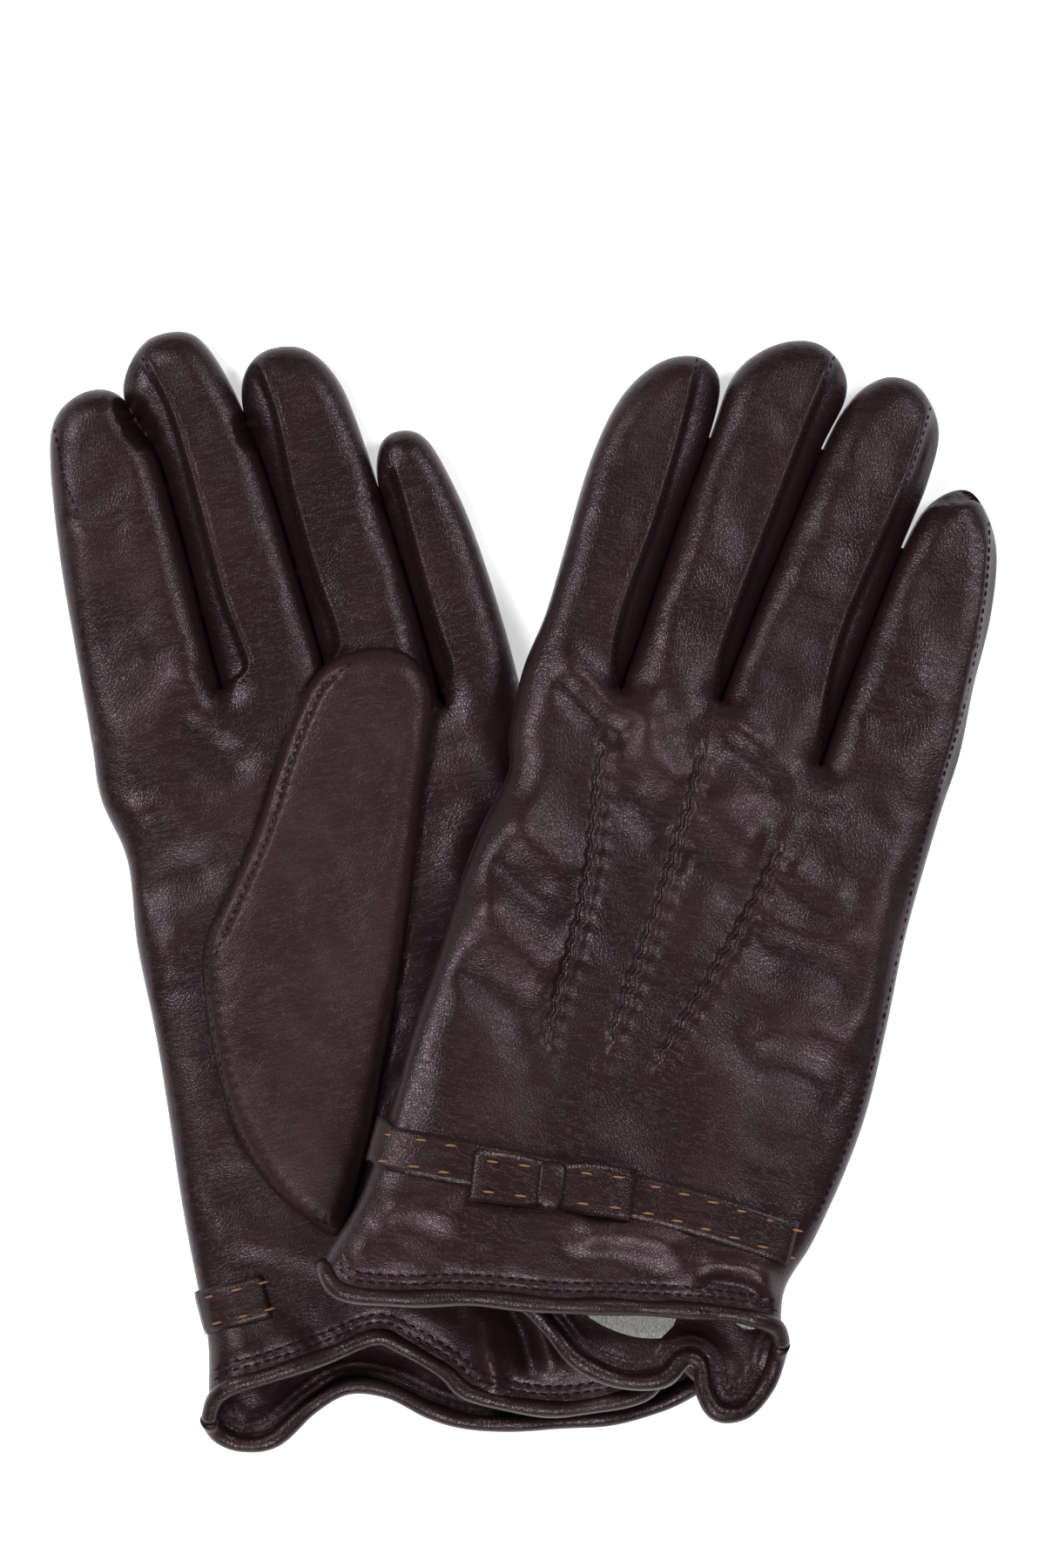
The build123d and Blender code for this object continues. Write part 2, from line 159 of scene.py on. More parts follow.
RIGHT = {
    "name": "right", "palm": -1, "turn": 14.6, "pitch": 8.3, "roll": 4.0,
    "origin": (6.7, -97.65, 38.4), "sag": 5.0, "bare": (9.0, 9.5),
    "side": [(-51.6, 8), (-50.4, 14), (-48.2, 21), (-46.8, 30), (-46.0, 46), (-46.0, 62), (-44.9, 76),
             (-44.3, 92), (-42.8, 106), (-40.2, 119), (-42, 127), (-42.6, 141)],
    "index": [(-40.9, 154), (-40.5, 168), (-40.1, 186), (-38, 200), (-34, 209), (-28.5, 214.4), (-22, 215.8),
              (-17.3, 211.5), (-16.7, 200), (-18.3, 184), (-19.6, 168), (-20.5, 154)],
    "gap1": (-21.6, 142.9),
    "middle": [(-20.4, 154), (-19.4, 168), (-18.1, 184), (-16.4, 201), (-15.5, 212), (-12.5, 218.6),
               (-6.5, 223.8), (0.5, 225.6), (6.6, 222.6), (9.4, 216), (7.1, 204), (4.8, 186), (2.5, 170),
               (0.8, 156)],
    "gap2": (-0.4, 146.1),
    "ring": [(0.9, 156), (2.6, 170), (4.9, 186), (7.3, 203), (9.6, 213), (13, 219.4), (18, 222.9),
             (24.5, 222), (30.4, 214.5), (30.9, 203), (28.9, 188), (27.0, 172), (25.2, 156)],
    "gap3": (23.6, 138.2),
    "little": [(25.3, 156), (27.1, 172), (29.1, 187), (32.0, 197.6), (37.9, 203.2), (43, 201.6), (48.6, 193),
               (51, 179), (51.2, 163), (51.9, 148)],
    "edge": [(51.0, 134), (50.3, 109), (51.2, 88), (51.6, 70), (50.2, 55), (47.4, 39.5), (44.2, 28),
             (46.6, 17)],
    "top_hem": [(44.5, 19.6), (40.9, 20.2), (33, 19.8), (22.7, 17.9), (12, 15.6), (-2.9, 12), (-20.3, 9),
                (-34.4, 5), (-47, 3.4)],
    "under_hem": [(46.4, 9), (43.5, 2.4), (38, 0.2), (34, 3.4), (31.5, 9), (28, 9.5), (24.5, 4), (16, 1.6),
                  (6, 3.2), (-2, 8.6), (-9, 12), (-20, 10.4), (-34, 6.6), (-47, 5)],
    "starts": (143.1, 146.3, 146.3, 138.4),
    "ends": (163, 166, 166, 158),
    "strap": 36.5, "bow": -9.5,
    "thumb": [(u, v - THUMB_BACK) for u, v in LEFT["thumb"]],
    "quirk": [(u, v - THUMB_BACK) for u, v in LEFT["quirk"]],
    "seams": {"index": [(-23.6, 214.6), (-23, 202.5), (-23.6, 180), (-25.4, 160), (-25.2, 150),
                        (-23.6, 144.2)],
              "middle": [(4.6, 222.8), (2.4, 207.5), (0.2, 187), (-2.2, 165), (-2.8, 154), (-1.6, 147.6)],
              "ring": [(27.4, 219.6), (26.4, 204), (23.7, 186), (21, 168), (20.8, 154), (22.6, 140.4)],
              "little": [(45.6, 197.2), (47.2, 190), (48.7, 180), (50, 160), (49.3, 139)],
              "hand": [(49.3, 139), (48.7, 125), (50, 86), (49.3, 62.5), (46.6, 44)]},
    "tucks": [[(-22.6, 134.6), (-20.8, 120.8), (-17.9, 102.4), (-17.4, 87.2), (-17.7, 73.8), (-16.6, 58.8)],
              [(-1.8, 139.1), (-0.7, 126), (-1.4, 106.7), (-3, 87.2), (-4.2, 73.5), (-5, 61.8)],
              [(20.7, 123), (18.8, 110), (14, 91.6), (8.8, 74.9), (4, 60.3)]],
    "folds": [([(-38, 148.5), (-30, 141.5), (-16, 137.2), (-6, 135.5)], 2.8, 1.5),
              ([(-36, 141), (-26, 134), (-12, 130.5)], 2.6, -1.1),
              ([(-22, 140.5), (-12, 142)], 2.2, 0.8),
              ([(-42, 111.5), (-31.5, 105), (-20, 99.5)], 4.4, 1.7),
              ([(-40, 101), (-31, 95), (-20, 91)], 3.6, -1.2),
              ([(-43, 92), (-30, 83.5), (-18, 77.2)], 4.8, 1.8),
              ([(-42, 78), (-30, 71), (-19, 67)], 3.8, -1.0),
              ([(-19, 134.4), (-10, 128.5), (-4, 123)], 4.2, 1.6),
              ([(-16, 122), (-9, 116), (-3, 113)], 3.4, -0.9),
              ([(-1, 125), (8, 119), (17, 117)], 4.6, 1.5),
              ([(0, 112), (8, 108), (15, 108)], 3.6, -0.8),
              ([(-3.5, 146), (4.3, 140.7), (12, 137)], 2.6, 1.4),
              ([(2, 138), (10, 132), (19, 130)], 2.8, -1.0),
              ([(20, 116), (30, 111), (38, 110)], 3.4, 1.2),
              ([(15, 104), (29, 102), (44, 103)], 3.6, 1.3),
              ([(18, 94), (33, 95), (46, 93)], 3.2, -0.9),
              ([(20, 76), (37, 82), (47, 77)], 4.2, 1.5),
              ([(22, 68), (35, 72), (46, 68)], 3.6, -0.8),
              ([(-5, 26), (9.7, 30.3), (24, 29.5)], 3.0, 1.9),
              ([(-8, 20), (8, 24), (24, 24.5)], 2.6, -0.9),
              ([(23, 28.2), (36, 30.0), (44, 25)], 1.9, 1.5),
              ([(-46, 21), (-34, 25), (-24, 24)], 3.6, 1.5),
              ([(24, 24.6), (36, 26.0), (43, 21.6)], 1.4, -1.4)],
}
GLOVES = (LEFT, RIGHT)


# ---------- plane geometry ----------

def smooth(points, step=GRID, closed=False):
    """A Catmull-Rom curve through the points, cut into pieces about step long."""
    pts = np.array(points, float)
    n = len(pts)
    out = []
    for i in range(n if closed else n - 1):
        if closed:
            p0, p1, p2, p3 = pts[i - 1], pts[i], pts[(i + 1) % n], pts[(i + 2) % n]
        else:
            p0, p1, p2, p3 = pts[max(i - 1, 0)], pts[i], pts[i + 1], pts[min(i + 2, n - 1)]
        count = max(2, int(math.ceil(np.linalg.norm(p2 - p1) / step)))
        t = np.linspace(0, 1, count, endpoint=False)[:, None]
        out.append(0.5 * (2 * p1 + (p2 - p0) * t + (2 * p0 - 5 * p1 + 4 * p2 - p3) * t ** 2
                          + (3 * p1 - p0 - 3 * p2 + p3) * t ** 3))
    if not closed:
        out.append(pts[-1:])
    return np.vstack(out)


def along(path, step):
    """Points evenly step apart on the path, with their directions."""
    path = np.array(path, float)
    runs = np.linalg.norm(np.diff(path, axis=0), axis=1)
    total = np.concatenate([[0], np.cumsum(runs)])
    s = np.linspace(0, total[-1], max(2, int(round(total[-1] / step)) + 1))
    pts = np.column_stack([np.interp(s, total, path[:, k]) for k in range(path.shape[1])])
    ways = np.gradient(pts, axis=0)
    return pts, ways / np.maximum(np.linalg.norm(ways, axis=1), 1e-9)[:, None]


def measure(points, path):
    """For each point: its distance from the path, how far along the path that is, and on which side."""
    points, path = np.asarray(points, float), np.asarray(path, float)
    best, where, side = np.full(len(points), 1e9), np.zeros(len(points)), np.ones(len(points))
    run = 0.0
    for a, b in zip(path, path[1:]):
        d = b - a
        length = max(np.linalg.norm(d), 1e-9)
        away = points - a
        t = np.clip(away @ d / length ** 2, 0, 1)
        gap = np.linalg.norm(away - t[:, None] * d, axis=1)
        near = gap < best
        best[near] = gap[near]
        where[near] = run + t[near] * length
        side[near] = np.sign(d[1] * away[near, 0] - d[0] * away[near, 1])
        run += length
    return best, where, side


def inside(points, loop):
    """True for each point inside the closed loop."""
    x, y = points[:, 0], points[:, 1]
    hit = np.zeros(len(points), bool)
    for (x0, y0), (x1, y1) in zip(loop, np.roll(loop, -1, axis=0)):
        if y0 == y1:
            continue
        crosses = (y0 > y) != (y1 > y)
        hit ^= crosses & (x < (x1 - x0) * (y - y0) / (y1 - y0) + x0)
    return hit


def noise(x, y, seed):
    """Smooth noise from about -1 to 1, the same on every run."""
    def corner(i, j):
        h = np.sin(i * 127.1 + j * 311.7 + seed * 74.7) * 43758.5453
        angle = 2 * math.pi * (h - np.floor(h))
        return np.cos(angle), np.sin(angle)

    i, j = np.floor(x), np.floor(y)
    fx, fy = x - i, y - j
    sx, sy = fx ** 3 * (fx * (6 * fx - 15) + 10), fy ** 3 * (fy * (6 * fy - 15) + 10)

    def dot(di, dj):
        gx, gy = corner(i + di, j + dj)
        return gx * (fx - di) + gy * (fy - dj)

    low = dot(0, 0) + sx * (dot(1, 0) - dot(0, 0))
    high = dot(0, 1) + sx * (dot(1, 1) - dot(0, 1))
    return (low + sy * (high - low)) * 1.5


def ease(x, low, high):
    t = np.clip((x - low) / (high - low), 0, 1)
    return t * t * (3 - 2 * t)


def bell(x, width):
    return np.exp(-(x / width) ** 2)


def domed(edge, roundness):
    """How high a round edge stands, from 0 to 1, that far in from the outline."""
    return np.sqrt(np.maximum(1 - (1 - np.minimum(edge / roundness, 1)) ** 2, 0))


def tree_of(points):
    """A tree that finds the nearest of those plan points."""
    tree = KDTree(len(points))
    for i, p in enumerate(points):
        tree.insert((*p, 0), i)
    tree.balance()
    return tree


def triangulate(points, rim_count, cuts=()):
    """The points and the triangles inside the rim, which is the first rim_count points, cut along the cuts."""
    rim = [(i, (i + 1) % rim_count) for i in range(rim_count)]
    out = delaunay_2d_cdt([Vector(p) for p in points], rim + list(cuts), [list(range(rim_count))], 1, 1e-5)
    return np.array([tuple(p) for p in out[0]]), [tuple(f) for f in out[2] if len(f) == 3]


def loops_of_quads(rows, columns):
    """The faces between neighbouring rows of points, where each row is a closed loop."""
    return [(r * columns + c, r * columns + (c + 1) % columns,
             (r + 1) * columns + (c + 1) % columns, (r + 1) * columns + c)
            for r in range(rows - 1) for c in range(columns)]


# ---------- placing ----------

def lay(glove, points):
    """Points of a glove's own frame in the part's frame, in metres, its unsupported cuff sagging."""
    p = np.array(points, float).reshape(-1, 3)
    p[:, 2] -= glove["sag"] * np.clip(1 - p[:, 1] / SAG_LENGTH, 0, 1) ** 2
    turn = Matrix.Rotation(-math.radians(glove["turn"]), 3, "Z")
    pitch = Matrix.Rotation(-math.radians(glove["pitch"]), 3, "X")
    roll = Matrix.Rotation(math.radians(glove["roll"]), 3, "Y")
    placed = p @ np.array(turn @ (pitch @ roll)).T + np.array(glove["origin"])
    placed[:, 2] = np.maximum(placed[:, 2], FLOOR_CLEAR)
    return placed * MM


def build(name, glove, points, faces, material, slot, relief=None):
    """A mesh object of those points, with each point's place in the glove kept for the materials."""
    mesh = bpy.data.meshes.new(name)
    mesh.from_pydata(lay(glove, points).tolist(), [], [list(map(int, f)) for f in faces])
    place = mesh.attributes.new("place", "FLOAT_VECTOR", "POINT")
    place.data.foreach_set("vector", np.asarray(points, np.float32).ravel())
    raised = mesh.attributes.new("relief", "FLOAT", "POINT")
    if relief is None:
        relief = np.zeros(len(points))
    raised.data.foreach_set("value", np.asarray(relief, np.float32))
    mesh.polygons.foreach_set("use_smooth", [True] * len(mesh.polygons))
    mesh.materials.append(material)
    obj = bpy.data.objects.new(name, mesh)
    bpy.context.scene.collection.objects.link(obj)
    return obj


# ---------- the leather's shape ----------

def outline(glove, hem):
    """The whole glove's outline as a loop, and the numbers of its points at the gaps and the hem's start."""
    parts = [glove["side"] + glove["index"], glove["middle"], glove["ring"], glove["little"] + glove["edge"]]
    loop, gaps = [], []
    for i, part in enumerate(parts):
        before = [glove[f"gap{i}"]] if i else []
        after = [glove[f"gap{i + 1}"]] if i < 3 else []
        run = smooth(before + part + after)
        if i:
            run = run[1:]
        loop += list(run)
        if after:
            gaps.append(len(loop) - 1)
    hem_start = len(loop) - 1
    loop += list(smooth([loop[-1], *hem, loop[0]], FINE)[1:-1])
    return np.array(loop), gaps, hem_start


def finger_of(glove, u, v):
    """The number of the finger that each point belongs to, or of the finger above it."""
    out = np.zeros(len(u), int)
    for i in (1, 2, 3):
        low = np.array(glove[f"gap{i}"])
        left = np.array(sorted(glove[FINGERS[i]][:6], key=lambda p: p[1]))
        left = left[left[:, 1] > low[1]]
        line = np.interp(v, [low[1], *left[:, 1]], [low[0], *(left[:, 0] - 0.4)])
        out += u > line
    return out


def seam_side(glove, u, v):
    """How far each point lies beyond its finger's seam, positive on the strip in the side, and its fade."""
    side = np.full(len(u), -99.0)
    fade = np.zeros(len(u))
    sign = 1 if glove["palm"] < 0 else -1
    finger = finger_of(glove, u, v)
    for k, name in enumerate(FINGERS):
        if name not in glove["seams"] or (glove["palm"] > 0 and name == "index"):
            continue
        seam = smooth(glove["seams"][name])
        order = np.argsort(seam[:, 1])
        line = np.interp(v, seam[order, 1], seam[order, 0])
        low, high = seam[:, 1].min(), seam[:, 1].max()
        mine = (finger == k) & (v > low - 4) & (v < high + 2)
        side[mine] = (sign * (u - line))[mine]
        fade[mine] = (ease(v, low - 3, low + 3) * ease(high + 2 - v, 0, 5))[mine]
    return side, fade


def tuck_relief(glove, pts):
    """The three tucks: a rolled ridge, a sharp fold on its right, and the scallops its stitching draws."""
    total = np.zeros(len(pts))
    for k, path in enumerate(glove["tucks"]):
        line = smooth(path, 0.8)
        gap, where, side = measure(pts, line)
        reach = where.max()
        fade = ease(where, 1, 10) * ease(reach - where, 1, 12)
        wave = 2 * math.pi * where / SCALLOP + k
        x = gap * side - 0.28 * np.sin(wave) - 0.12 * np.sin(0.37 * wave)
        ridge = 0.8 * bell(x, np.where(x < 0, 1.7, 0.8))
        fold = -0.75 * bell(x - 1.3, 0.42)
        pucker = 0.04 * np.cos(wave + 0.6) * bell(np.abs(x) - 2.4, 1.2)
        total += fade * (ridge + fold + pucker)
        total += 0.22 * (1 - fade) * bell(gap, 4.5) * np.cos(side * gap / 1.6)
    return total


def height(glove, pts, loop, hem_start, upper, wrinkle):
    """The leather's height above the glove's middle plane, and the relief in it."""
    u, v = pts[:, 0], pts[:, 1]
    edge, _, _ = measure(pts, loop[:hem_start + 1])
    starts = np.array(glove["starts"])[finger_of(glove, u, v)]
    finger = ease(v, starts - 6, starts + 12)
    half = HAND_HALF + (FINGER_HALF - HAND_HALF) * finger
    roundness = EDGE_ROUND + (FINGER_ROUND - EDGE_ROUND) * finger
    profile = domed(edge, roundness)
    calm = profile * (0.3 + 0.7 * ease(edge, 0, 5))
    seed = (3 if upper else 11) + (20 if glove["name"] == "right" else 0)
    w = 0.70 * noise(u / 24, v / 30, seed) + 0.26 * noise(u / 12, v / 13, seed + 1)
    w += 0.07 * noise(u / 5.2, v / 3.9, seed + 2)
    # Creases across the fingers and here and there on the hand.
    bent = 0.5 * noise(u / 9, v / 9, seed + 5)
    crease = 1 - np.abs(noise(u / 12 + bent, v / 4.2 + bent, seed + 3))
    patch = ease(noise(u / 17, v / 14, seed + 4), -0.25, 0.6) * (0.5 + 0.5 * finger)
    w -= 0.10 * patch * ease(crease, 0.78, 1.0)
    if upper:
        for points, width, rise in glove["folds"]:
            gap, where, _ = measure(pts, smooth(points))
            reach = where.max()
            fade = ease(where, 0, 0.25 * reach) * ease(reach - where, 0, 0.25 * reach)
            w += 0.95 * rise * fade * bell(gap, 1.1 * width)
    w = (w + wrinkle) * calm
    # The seams: a lip, a groove, and the strip beyond, which drops away.
    side, fade = seam_side(glove, u, v)
    if upper:
        drop = ease(side, 0.1, 1.3) * fade * np.minimum(half * profile, 2.2) * 0.62
        lip = 0.34 * bell(side + 0.9, 0.8) * fade * calm
        groove = -0.85 * bell(side - 0.35, 0.5) * fade * profile
        w += lip + groove - drop
    back = upper == (glove["palm"] < 0)
    if back:
        w += tuck_relief(glove, pts) * (1.0 if upper else 0.35) * calm
    # The hem: two rows of stitches drawn in, and the leather swelling behind them.
    gap, where, _ = measure(pts, glove["hem_points"][upper])
    stitch_dip = -0.30 * sum(bell(gap - row, 0.45) for row in HEM_ROWS)
    pucker = 0.06 * np.cos(2 * math.pi * where / 2.3) * bell(gap - 3.9, 1.6)
    swell = 0.5 * bell(gap - 8, 3.0) + 0.4 * noise(where / 9, gap / 14, seed + 7) * bell(gap - 6, 7)
    w += (stitch_dip + pucker + swell) * profile
    h = np.maximum(half * profile + w, 0)
    # The palm stays clear of the thumb that lies on it.
    if upper == (glove["palm"] > 0):
        under_thumb = inside(pts, smooth(glove["thumb"], closed=True))
        h[under_thumb] = np.minimum(h[under_thumb], THUMB_BASE - 0.45 + 0.1 * w[under_thumb])
    return (h if upper else -h), w


def draw_up(glove, loop, hem_start, upper):
    """Lets the leather of one side wrinkle: a cloth larger than its seams, held at them and pressed outward.

    Returns the plan points of that cloth and how far each has moved up or down, in millimetres.
    """
    flat, faces = triangulate(np.vstack([loop, fill(loop, CLOTH_GRID, 1.0)]), len(loop))
    u, v = flat[:, 0], flat[:, 1]
    edge, _, _ = measure(flat, loop[:hem_start + 1])
    profile = domed(edge, EDGE_ROUND)
    seed = (51 if upper else 57) + (10 if glove["name"] == "right" else 0)
    start = HAND_HALF * profile + 0.25 * noise(u / 9, v / 7, seed) * profile
    # pin is how firmly each point is held, and free is how much of its movement the leather takes.
    pin = bell(edge, 2.2)
    pin = np.maximum(pin, 0.6 * bell(measure(flat, glove["hem_points"][upper])[0], 2.0))
    free = ease(edge, 0, 4)
    if upper:
        side, fade = seam_side(glove, u, v)
        pin = np.maximum(pin, bell(side, 1.8) * fade)
        free *= 1 - fade * bell(side, 3.0)
    if upper == (glove["palm"] < 0):
        for path in glove["tucks"]:
            gap = measure(flat, smooth(path))[0]
            pin = np.maximum(pin, bell(gap, 1.8))
            free *= ease(gap, 2.5, 8)
    mesh = bpy.data.meshes.new("cloth")
    mesh.from_pydata((np.column_stack([flat, start]) * CLOTH_SCALE).tolist(), [], faces)
    obj = bpy.data.objects.new("cloth", mesh)
    bpy.context.scene.collection.objects.link(obj)
    group = obj.vertex_groups.new(name="pin")
    for i, weight in enumerate(pin):
        group.add([i], float(weight), "REPLACE")
    cloth = obj.modifiers.new("cloth", "CLOTH")
    rules = cloth.settings
    rules.quality = 6
    rules.mass = 0.3
    rules.tension_stiffness = rules.compression_stiffness = 18
    rules.shear_stiffness = 6
    rules.bending_stiffness = 0.5
    rules.shrink_min = rules.shrink_max = -CLOTH_SPARE
    rules.vertex_group_mass = "pin"
    rules.use_pressure = True
    rules.uniform_pressure_force = 0.6
    rules.effector_weights.gravity = 0
    cloth.point_cache.frame_start, cloth.point_cache.frame_end = 1, CLOTH_FRAMES
    for step in range(1, CLOTH_FRAMES + 1):
        bpy.context.scene.frame_set(step)
    ready = obj.evaluated_get(bpy.context.evaluated_depsgraph_get()).to_mesh()
    moved = np.empty(3 * len(flat), np.float32)
    ready.vertices.foreach_get("co", moved)
    rise = moved.reshape(-1, 3)[:, 2] / CLOTH_SCALE - start
    bpy.context.scene.frame_set(1)
    bpy.data.objects.remove(obj)
    bpy.data.meshes.remove(mesh)
    used = np.unique([i for face in faces for i in face])
    flat, rise, free = flat[used], rise[used], free[used]
    broad = np.empty(len(rise))
    batch = 500
    for at in range(0, len(flat), batch):
        gap = ((flat[at:at + batch, None] - flat[None]) ** 2).sum(axis=2)
        weight = np.exp(-gap / (2 * CLOTH_SWELL ** 2))
        broad[at:at + batch] = weight @ rise / weight.sum(axis=1)
    return flat, free * np.clip((rise - broad) * WRINKLE_SHARE, -WRINKLE, WRINKLE)


def carried(flat, rise, pts):
    """The cloth's rise at other plan points."""
    tree = tree_of(flat)
    out = []
    for p in pts:
        near = tree.find_n((*p, 0), 7)
        weight = np.array([math.exp(-(gap / CLOTH_GRID) ** 2) + 1e-6 for _, _, gap in near])
        out.append((rise[[i for _, i, _ in near]] * weight).sum() / weight.sum())
    return np.array(out)


def fill(loop, spacing, clear):
    """A staggered grid of points inside the loop, clear of its edge."""
    lo, hi = loop.min(0), loop.max(0)
    rows = np.arange(lo[1], hi[1], spacing * 0.87)
    grid = np.array([(x + (i % 2) * spacing / 2, y)
                     for i, y in enumerate(rows) for x in np.arange(lo[0], hi[0], spacing)])
    grid = grid[inside(grid, loop)]
    edge, _, _ = measure(grid, np.vstack([loop, loop[:1]]))
    return grid[edge > clear]


def rim_rings(loop, reaches):
    """Rows of points that follow the loop, a little way in."""
    closed = np.vstack([loop, loop[:1]])
    way = np.roll(loop, -1, axis=0) - np.roll(loop, 1, axis=0)
    normal = np.column_stack([way[:, 1], -way[:, 0]]) / np.linalg.norm(way, axis=1)[:, None]
    rings = []
    for reach in reaches:
        ring = loop + normal * reach
        ring = ring[inside(ring, loop)]
        gap, _, _ = measure(ring, closed)
        rings.append(ring[gap > reach * 0.93])
    return rings


def sheet(glove, upper):
    """One side of the glove, cut at the fingers' roots: points, triangles, their parts, heights, relief."""
    hem = glove["top_hem" if upper else "under_hem"]
    loop, gaps, hem_start = outline(glove, hem)
    hem_points = np.vstack([loop[hem_start:], loop[:1]])
    glove.setdefault("hem_points", {})[upper] = hem_points
    glove.setdefault("loop", {})[upper] = loop
    grid = fill(loop, GRID, RIM_RINGS[-1] + 0.5)
    fine = fill(loop, FINE, RIM_RINGS[-1] + 0.3)
    wanted = measure(fine, hem_points)[0] < 8.0
    if upper == (glove["palm"] < 0):
        for path in glove["tucks"]:
            wanted |= measure(fine, smooth(path))[0] < 4.6
    for seam in glove["seams"].values() if upper else ():
        wanted |= measure(fine, smooth(seam))[0] < 2.2
    fine = fine[wanted]
    tree = tree_of(fine)
    grid = grid[[tree.find((*p, 0))[2] > 0.75 for p in grid]]
    tail = np.arange(gaps[2] + 1, hem_start)
    tail = tail[loop[tail, 0] > glove["gap3"][0] + 8]
    right = int(tail[np.argmin(np.abs(loop[tail, 1] - glove["gap3"][1]))])
    head = np.arange(0, gaps[0] // 2)
    left = int(head[np.argmin(np.abs(loop[head, 1] - glove["gap1"][1]))])
    chain = [left, *gaps, right]
    inner, cuts = [], []
    extra = len(loop)
    for a, b in zip(chain, chain[1:]):
        count = int(np.linalg.norm(loop[b] - loop[a]) / GRID)
        between = [loop[a] + (loop[b] - loop[a]) * t for t in np.linspace(0, 1, count + 1)[1:-1]]
        numbers = [a, *range(extra, extra + len(between)), b]
        cuts += list(zip(numbers, numbers[1:]))
        extra += len(between)
        inner += between
    inner = np.array(inner)
    rest = np.vstack([*rim_rings(loop, RIM_RINGS), grid, fine])
    clear = np.ones(len(rest), bool)
    for a, b in zip(chain, chain[1:]):
        clear &= measure(rest, loop[[a, b]])[0] > 0.45
    pts = np.vstack([loop, inner, rest[clear]])
    flat, faces = triangulate(pts, len(loop), cuts)
    faces = np.array(faces)
    centre = flat[faces].mean(axis=1)
    part = np.zeros(len(faces), int)
    for k, (a, b) in enumerate(zip(chain, chain[1:])):
        part[inside(centre, loop[a:b + 1])] = k + 1
    cloth, rise = draw_up(glove, loop, hem_start, upper)
    high, relief = height(glove, flat, loop, hem_start, upper, carried(cloth, rise, flat))
    return flat, faces, part, high, relief


def leather(glove, material):
    """The hand and its four fingers, closed along the sides and open at the cuff."""
    points, faces, parts, reliefs = [], [], [], []
    count = 0
    for upper in (True, False):
        flat, tri, part, high, relief = sheet(glove, upper)
        points.append(np.column_stack([flat, high]))
        faces.append((tri if upper else tri[:, ::-1]) + count)
        parts.append(part)
        reliefs.append(relief)
        count += len(flat)
        glove.setdefault("surface", {})[upper] = (tree_of(flat), high)
    points, faces, parts = np.vstack(points), np.vstack(faces), np.concatenate(parts)
    reliefs = np.concatenate(reliefs)
    normals = whole_normals(lay(glove, points), faces)
    made = {}
    for k, name in enumerate(["hand", *FINGERS]):
        mine = faces[parts == k]
        used = np.unique(mine)
        number = np.full(len(points), -1)
        number[used] = np.arange(len(used))
        obj = build(f"{glove['name']}_{name}_leather", glove, points[used], number[mine], material,
                    "glove_leather", reliefs[used])
        obj.data.normals_split_custom_set_from_vertices([tuple(x) for x in normals[used]])
        made[name] = obj
    return made


def whole_normals(points, faces):
    """Each point's normal over the whole glove, so that no join shows between its pieces."""
    key = np.round(points / (0.02 * MM)).astype(np.int64)
    _, same = np.unique(key, axis=0, return_inverse=True)
    same = same.ravel()
    a, b, c = points[faces[:, 0]], points[faces[:, 1]], points[faces[:, 2]]
    area = np.cross(b - a, c - a)
    total = np.zeros((same.max() + 1, 3))
    for k in range(3):
        np.add.at(total, same[faces[:, k]], area)
    total /= np.maximum(np.linalg.norm(total, axis=1), 1e-30)[:, None]
    return total[same]


def on_leather(glove, points, upper=True, proud=0.0):
    """Those plan points on the leather's surface, proud above it."""
    tree, high = glove["surface"][upper]
    out = []
    for p in np.asarray(points, float):
        near = tree.find_n((p[0], p[1], 0), 4)
        weight = np.array([1 / (gap * gap + 0.02) for _, _, gap in near])
        out.append((high[[i for _, i, _ in near]] * weight).sum() / weight.sum())
    lift = np.array(out) + (proud if upper else -proud)
    return np.column_stack([points, lift])


def within(glove, points, upper, margin=0.7):
    """True for the plan points on the leather, clear of its edge."""
    loop = glove["loop"][upper]
    return inside(points, loop) & (measure(points, np.vstack([loop, loop[:1]]))[0] > margin)


# ---------- small parts ----------

def tube(centres, radii, sides=10, squash=1.0, up=(0, 0, 1)):
    """A round cord through the centres, with closed ends."""
    centres = np.asarray(centres, float)
    ways = np.gradient(centres, axis=0)
    ways /= np.maximum(np.linalg.norm(ways, axis=1), 1e-9)[:, None]
    side = np.cross(ways, np.array(up, float))
    side /= np.maximum(np.linalg.norm(side, axis=1), 1e-9)[:, None]
    rise = np.cross(side, ways)
    radii = np.broadcast_to(radii, len(centres))
    angle = np.linspace(0, 2 * math.pi, sides, endpoint=False)
    rings = [c + r * (np.cos(angle)[:, None] * s + squash * np.sin(angle)[:, None] * q)
             for c, r, s, q in zip(centres, radii, side, rise)]
    points = np.vstack(rings + [centres[:1], centres[-1:]])
    faces = loops_of_quads(len(centres), sides)
    first, last = len(points) - 2, len(points) - 1
    end = (len(centres) - 1) * sides
    faces += [(first, (j + 1) % sides, j) for j in range(sides)]
    faces += [(last, end + j, end + (j + 1) % sides) for j in range(sides)]
    return points, faces


def gather(shapes):
    """Several points-and-faces shapes as one."""
    points, faces, count = [], [], 0
    for p, f in shapes:
        points.append(p)
        faces += [tuple(i + count for i in face) for face in f]
        count += len(p)
    return np.vstack(points), faces


def stitch(centre, way, length, width, up):
    """One stitch: a short thread that dips into the leather at both ends."""
    t = np.linspace(-0.5, 0.5, 7)
    spine = centre + np.outer(t * length, way)
    spine[:, 2] += (0.25 - 1.9 * t ** 2) * up * width
    return tube(spine, width / 2 * np.sqrt(1 - 0.9 * (2 * t) ** 2), sides=8)


